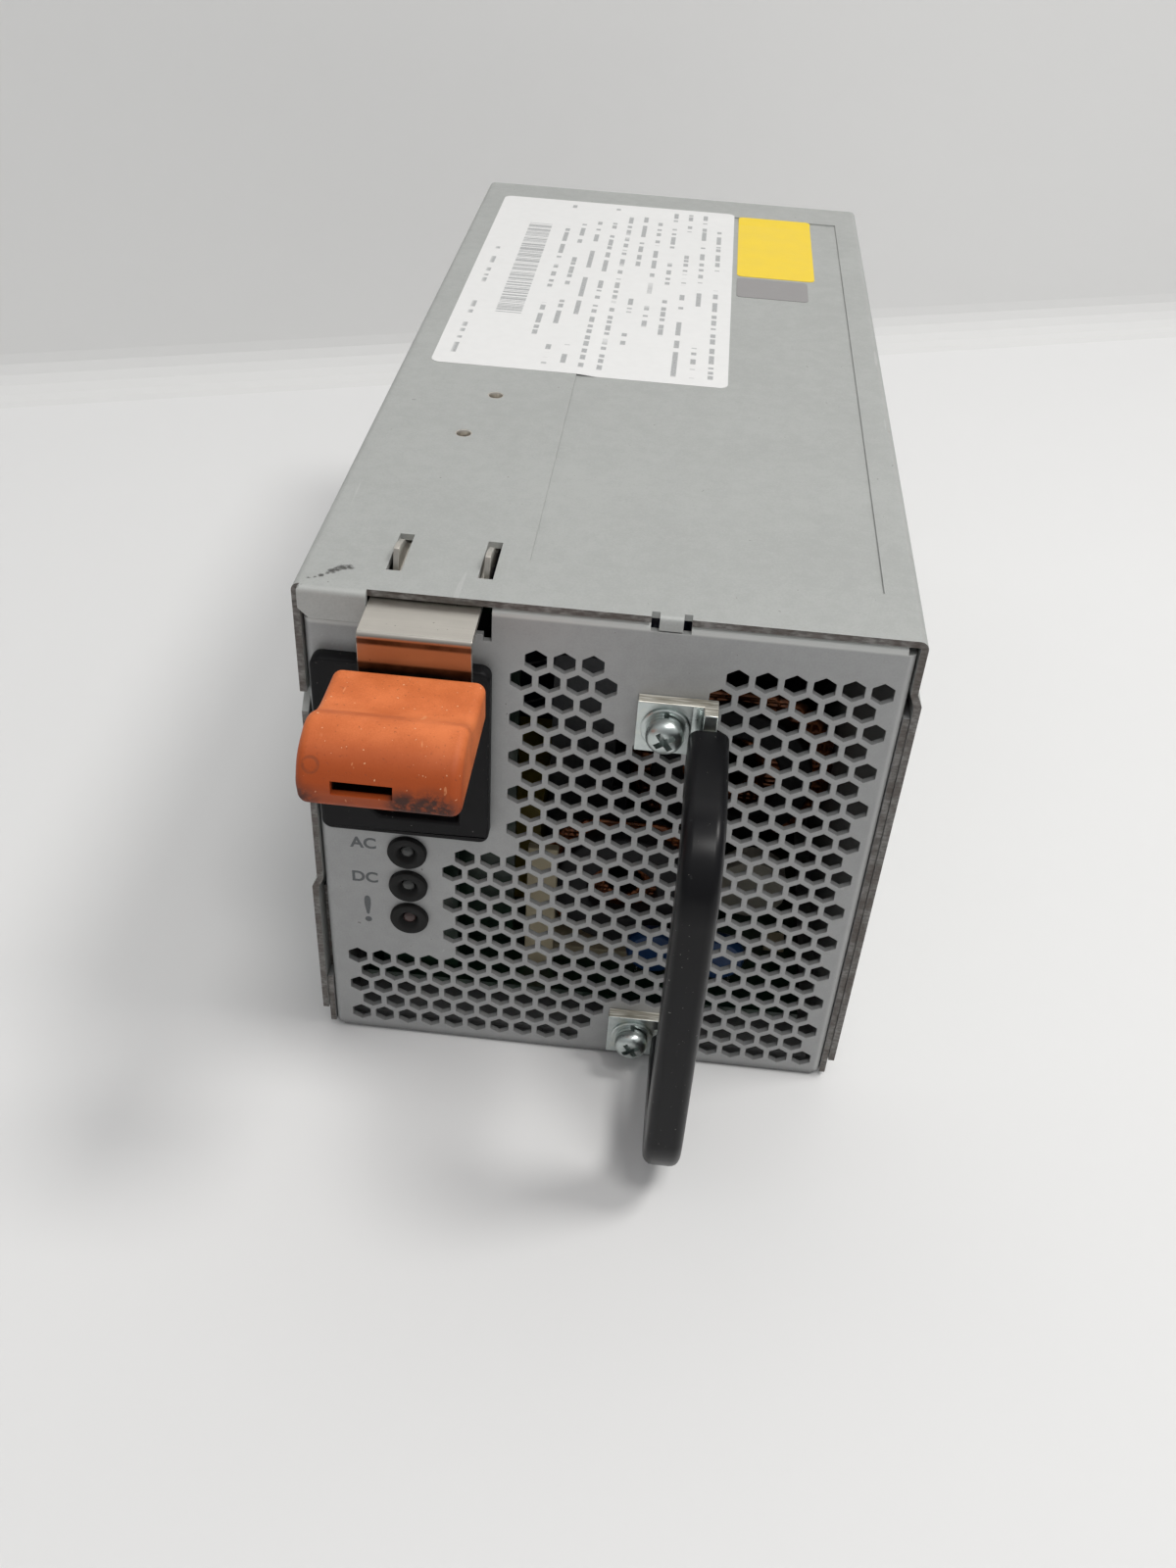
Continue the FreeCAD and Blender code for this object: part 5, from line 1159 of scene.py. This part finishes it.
def fan_blade(turned_by, rows=8, root=12.6, tip=27.0):
    """One curved blade that widens and flattens towards its tip."""
    grid = []
    for row in range(rows + 1):
        share = row / rows
        radius = root + (tip - root) * share
        chord = 15.0 + 5.0 * share
        pitch = math.radians(40.0 - 14.0 * share)
        line = []
        for step in range(-5, 6):
            along = chord * step / 10
            camber = 1.6 * (1 - (step / 5) ** 2)
            rise = along * math.sin(pitch) + camber * math.cos(pitch)
            across = along * math.cos(pitch) - camber * math.sin(pitch)
            turn = across / radius + turned_by + 0.10 * share
            line.append(Vector((radius * math.cos(turn), rise, radius * math.sin(turn))) * MM)
        grid.append(line)
    blade = skinned("blade", grid, "sheet")
    return bevelled(modified(blade, "SOLIDIFY", thickness=1.0 * MM, offset=0.0), 0.3)


def dress_fan():
    """Frame and rotor: a rounded hub with seven blades, and the screws that hold the frame."""
    refined("fan_frame", "fan", "black_plastic", 0.4, angle=20.0)
    low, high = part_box("fan_rotor")
    centre = Vector((0.0, (low.y + high.y) / 2, sum(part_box("fan_frame"), Vector()).z / 2))
    half = half_size(low, high).y
    cup = [(0.0, half), (10.5, half), (12.2, half - 0.5), (12.9, half - 1.6), (13.0, 0.0),
           (13.0, -half), (11.6, -half), (11.6, half - 1.5), (0.0, half - 1.5)]
    blades = [fan_blade(2 * math.pi * number / 7) for number in range(7)]
    rotor = joined("fan_rotor_finish", [turned("cup", cup, sides=48), *blades])
    dressed(moved(rotor, centre), "fan", "black_plastic", "fan_rotor", body="fan", angle=40.0)
    repeated("fan_screw_set", spun(pan_head(3.2, 1.2, 1.8, 6.5), math.pi),
             middles("fan_screws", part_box("rear_panel")[1].y), "zinc", "zinc_plate", "fan_screws")


def dress_inside():
    """The parts that keep their CAD meshes, and those with a mesh of their own."""
    for finish, nodes in {
            "contact": ("fan_shaft", "fuse_clips", "power_contacts", "signal_contacts"),
            "brass": ("fan_bush",), "laminations": ("fan_stator",),
            "insulation": ("insulating_sheet",), "nylon": ("board_supports",),
            "board": ("main_board", "inlet_board", "lamp_board", "control_board"),
            "film": ("film_capacitors",), "ceramic": ("thermistor", "fuse"),
            "relay": ("inrush_relay",), "lens": ("lamp_diodes",),
            "sink": ("bridge_sink", "primary_sink", "rectifier_sink"),
            "epoxy": ("bridge_rectifier", "power_transistors", "output_rectifiers",
                      "control_chips"),
            "ferrite": ("transformer_core", "output_choke"),
            "tape": ("transformer_winding", "standby_transformer")}.items():
        kept(finish, *nodes)
    refined("filter_choke_base", "nylon", "white_nylon", 0.3)
    refined("connector_housing", "black", "black_plastic", 0.35)
    dress_cans("bulk_capacitors", "bulk_can_set")
    dress_cans("output_capacitors", "output_can_set")
    dress_discs()
    dress_toroid("boost_core", "boost_winding", "boost_choke", 9.2 / 15.1, 1.9, 30, 30.0)
    dress_toroid("filter_choke_core", "filter_choke_coils", "filter_choke", 0.5, 0.95, 40, 40.0)


# ---------------------------------------------------------------- floor, light and camera

def stage_finish(name, colour):
    """Matt paint; the wall shows from the front only, so the case can be seen from behind."""
    finish = Finish(name, colour, roughness=0.85)
    finish.surface("Base Color", finish.mix(finish.grain(120.0), colour, scaled(colour, 1.02)))
    if name == "wall":
        clear = finish.node("ShaderNodeBsdfTransparent")
        behind = finish.node("ShaderNodeNewGeometry", output="Backfacing")
        shown = finish.node("ShaderNodeMixShader", None, {
            0: behind, 1: Value(finish, finish.shader.outputs[0]), 2: clear})
        finish.tree.links.new(shown.socket, finish.tree.nodes["Material Output"].inputs[0])
    return finish.material


def make_stage():
    """A pale table, and a pale wall that turns up from it behind the case."""
    turn = math.radians(20.8)
    along = Vector((math.cos(turn), math.sin(turn), 0.0))
    back = Vector((-math.sin(turn), math.cos(turn), 0.0))
    corner, half, cove, rise = Vector((0.0, 0.221, 0.0)), 3.0, 0.012, 2.5
    curve = [point[:2] for point in arc(-cove, cove, cove, -90, 0, 6)]
    for name, profile, colour in (
            ("table", [(-half, 0.0), (half, 0.0)], (0.78, 0.78, 0.78)),
            ("wall", [*curve, (0.0, rise)], (0.74, 0.74, 0.735))):
        sheet = skinned(name, [[corner + along * side + back * run + Vector((0, 0, level))
                                for side in (-half, half)] for run, level in profile], "sheet")
        sheet.data.materials.append(stage_finish(name, colour))


def lamp(name, place, width, power):
    """A round area lamp, slightly warm, that points at the middle of the case."""
    light = bpy.data.lights.new(name, "AREA")
    light.shape = "DISK"
    light.size = width
    light.energy = power
    light.color = (1.0, 0.985, 0.96)
    holder = linked(name, light)
    holder.location = place
    away = Vector(place) - Vector((0.0, 0.0, 0.05))
    holder.rotation_euler = away.to_track_quat("Z", "Y").to_euler()


def make_light():
    """Soft light from above, paler overhead than at the horizon, and two panel lamps."""
    world = bpy.data.worlds.new("room")
    world.use_nodes = True
    room = Tree(world.node_tree)
    towards = room.node("ShaderNodeTexCoord", output="Generated")
    height = room.node("ShaderNodeSeparateXYZ", None, {0: towards}, "Z")
    sky = world.node_tree.nodes["Background"].inputs
    room.feed(sky["Color"], (0.985, 0.99, 1.0, 1.0))
    room.feed(sky["Strength"], room.node("ShaderNodeMapRange", None, {
        "Value": height, "From Min": 0.0, "From Max": 1.0, "To Min": 0.22, "To Max": 0.72}))
    bpy.context.scene.world = world
    lamp("right_panel", (0.43, -0.06, 0.85), 0.24, 3.1)
    lamp("front_panel_lamp", (0.17, -0.38, 0.85), 0.20, 1.7)


def make_camera():
    """The camera, in front of the case and above it, looking down towards its rear."""
    camera = bpy.data.cameras.new("camera")
    camera.lens = 32.507
    camera.sensor_width = 36.0
    holder = linked("camera", camera)
    right, up = Vector((0.9943, 0.0925, 0.0533)), Vector((-0.0995, 0.6227, 0.7761))
    turn = Matrix((right, up, right.cross(up))).transposed().to_4x4()
    holder.matrix_world = Matrix.Translation(at(50.26, -162.32, 190.92)) @ turn
    bpy.context.scene.camera = holder


dress_case()
dress_labels()
dress_inlet()
dress_lamps()
dress_marks()
dress_handle()
dress_handle_screws()
dress_latch()
dress_fan()
dress_inside()
make_stage()
make_light()
make_camera()
bpy.context.scene.view_settings.view_transform = "Standard"
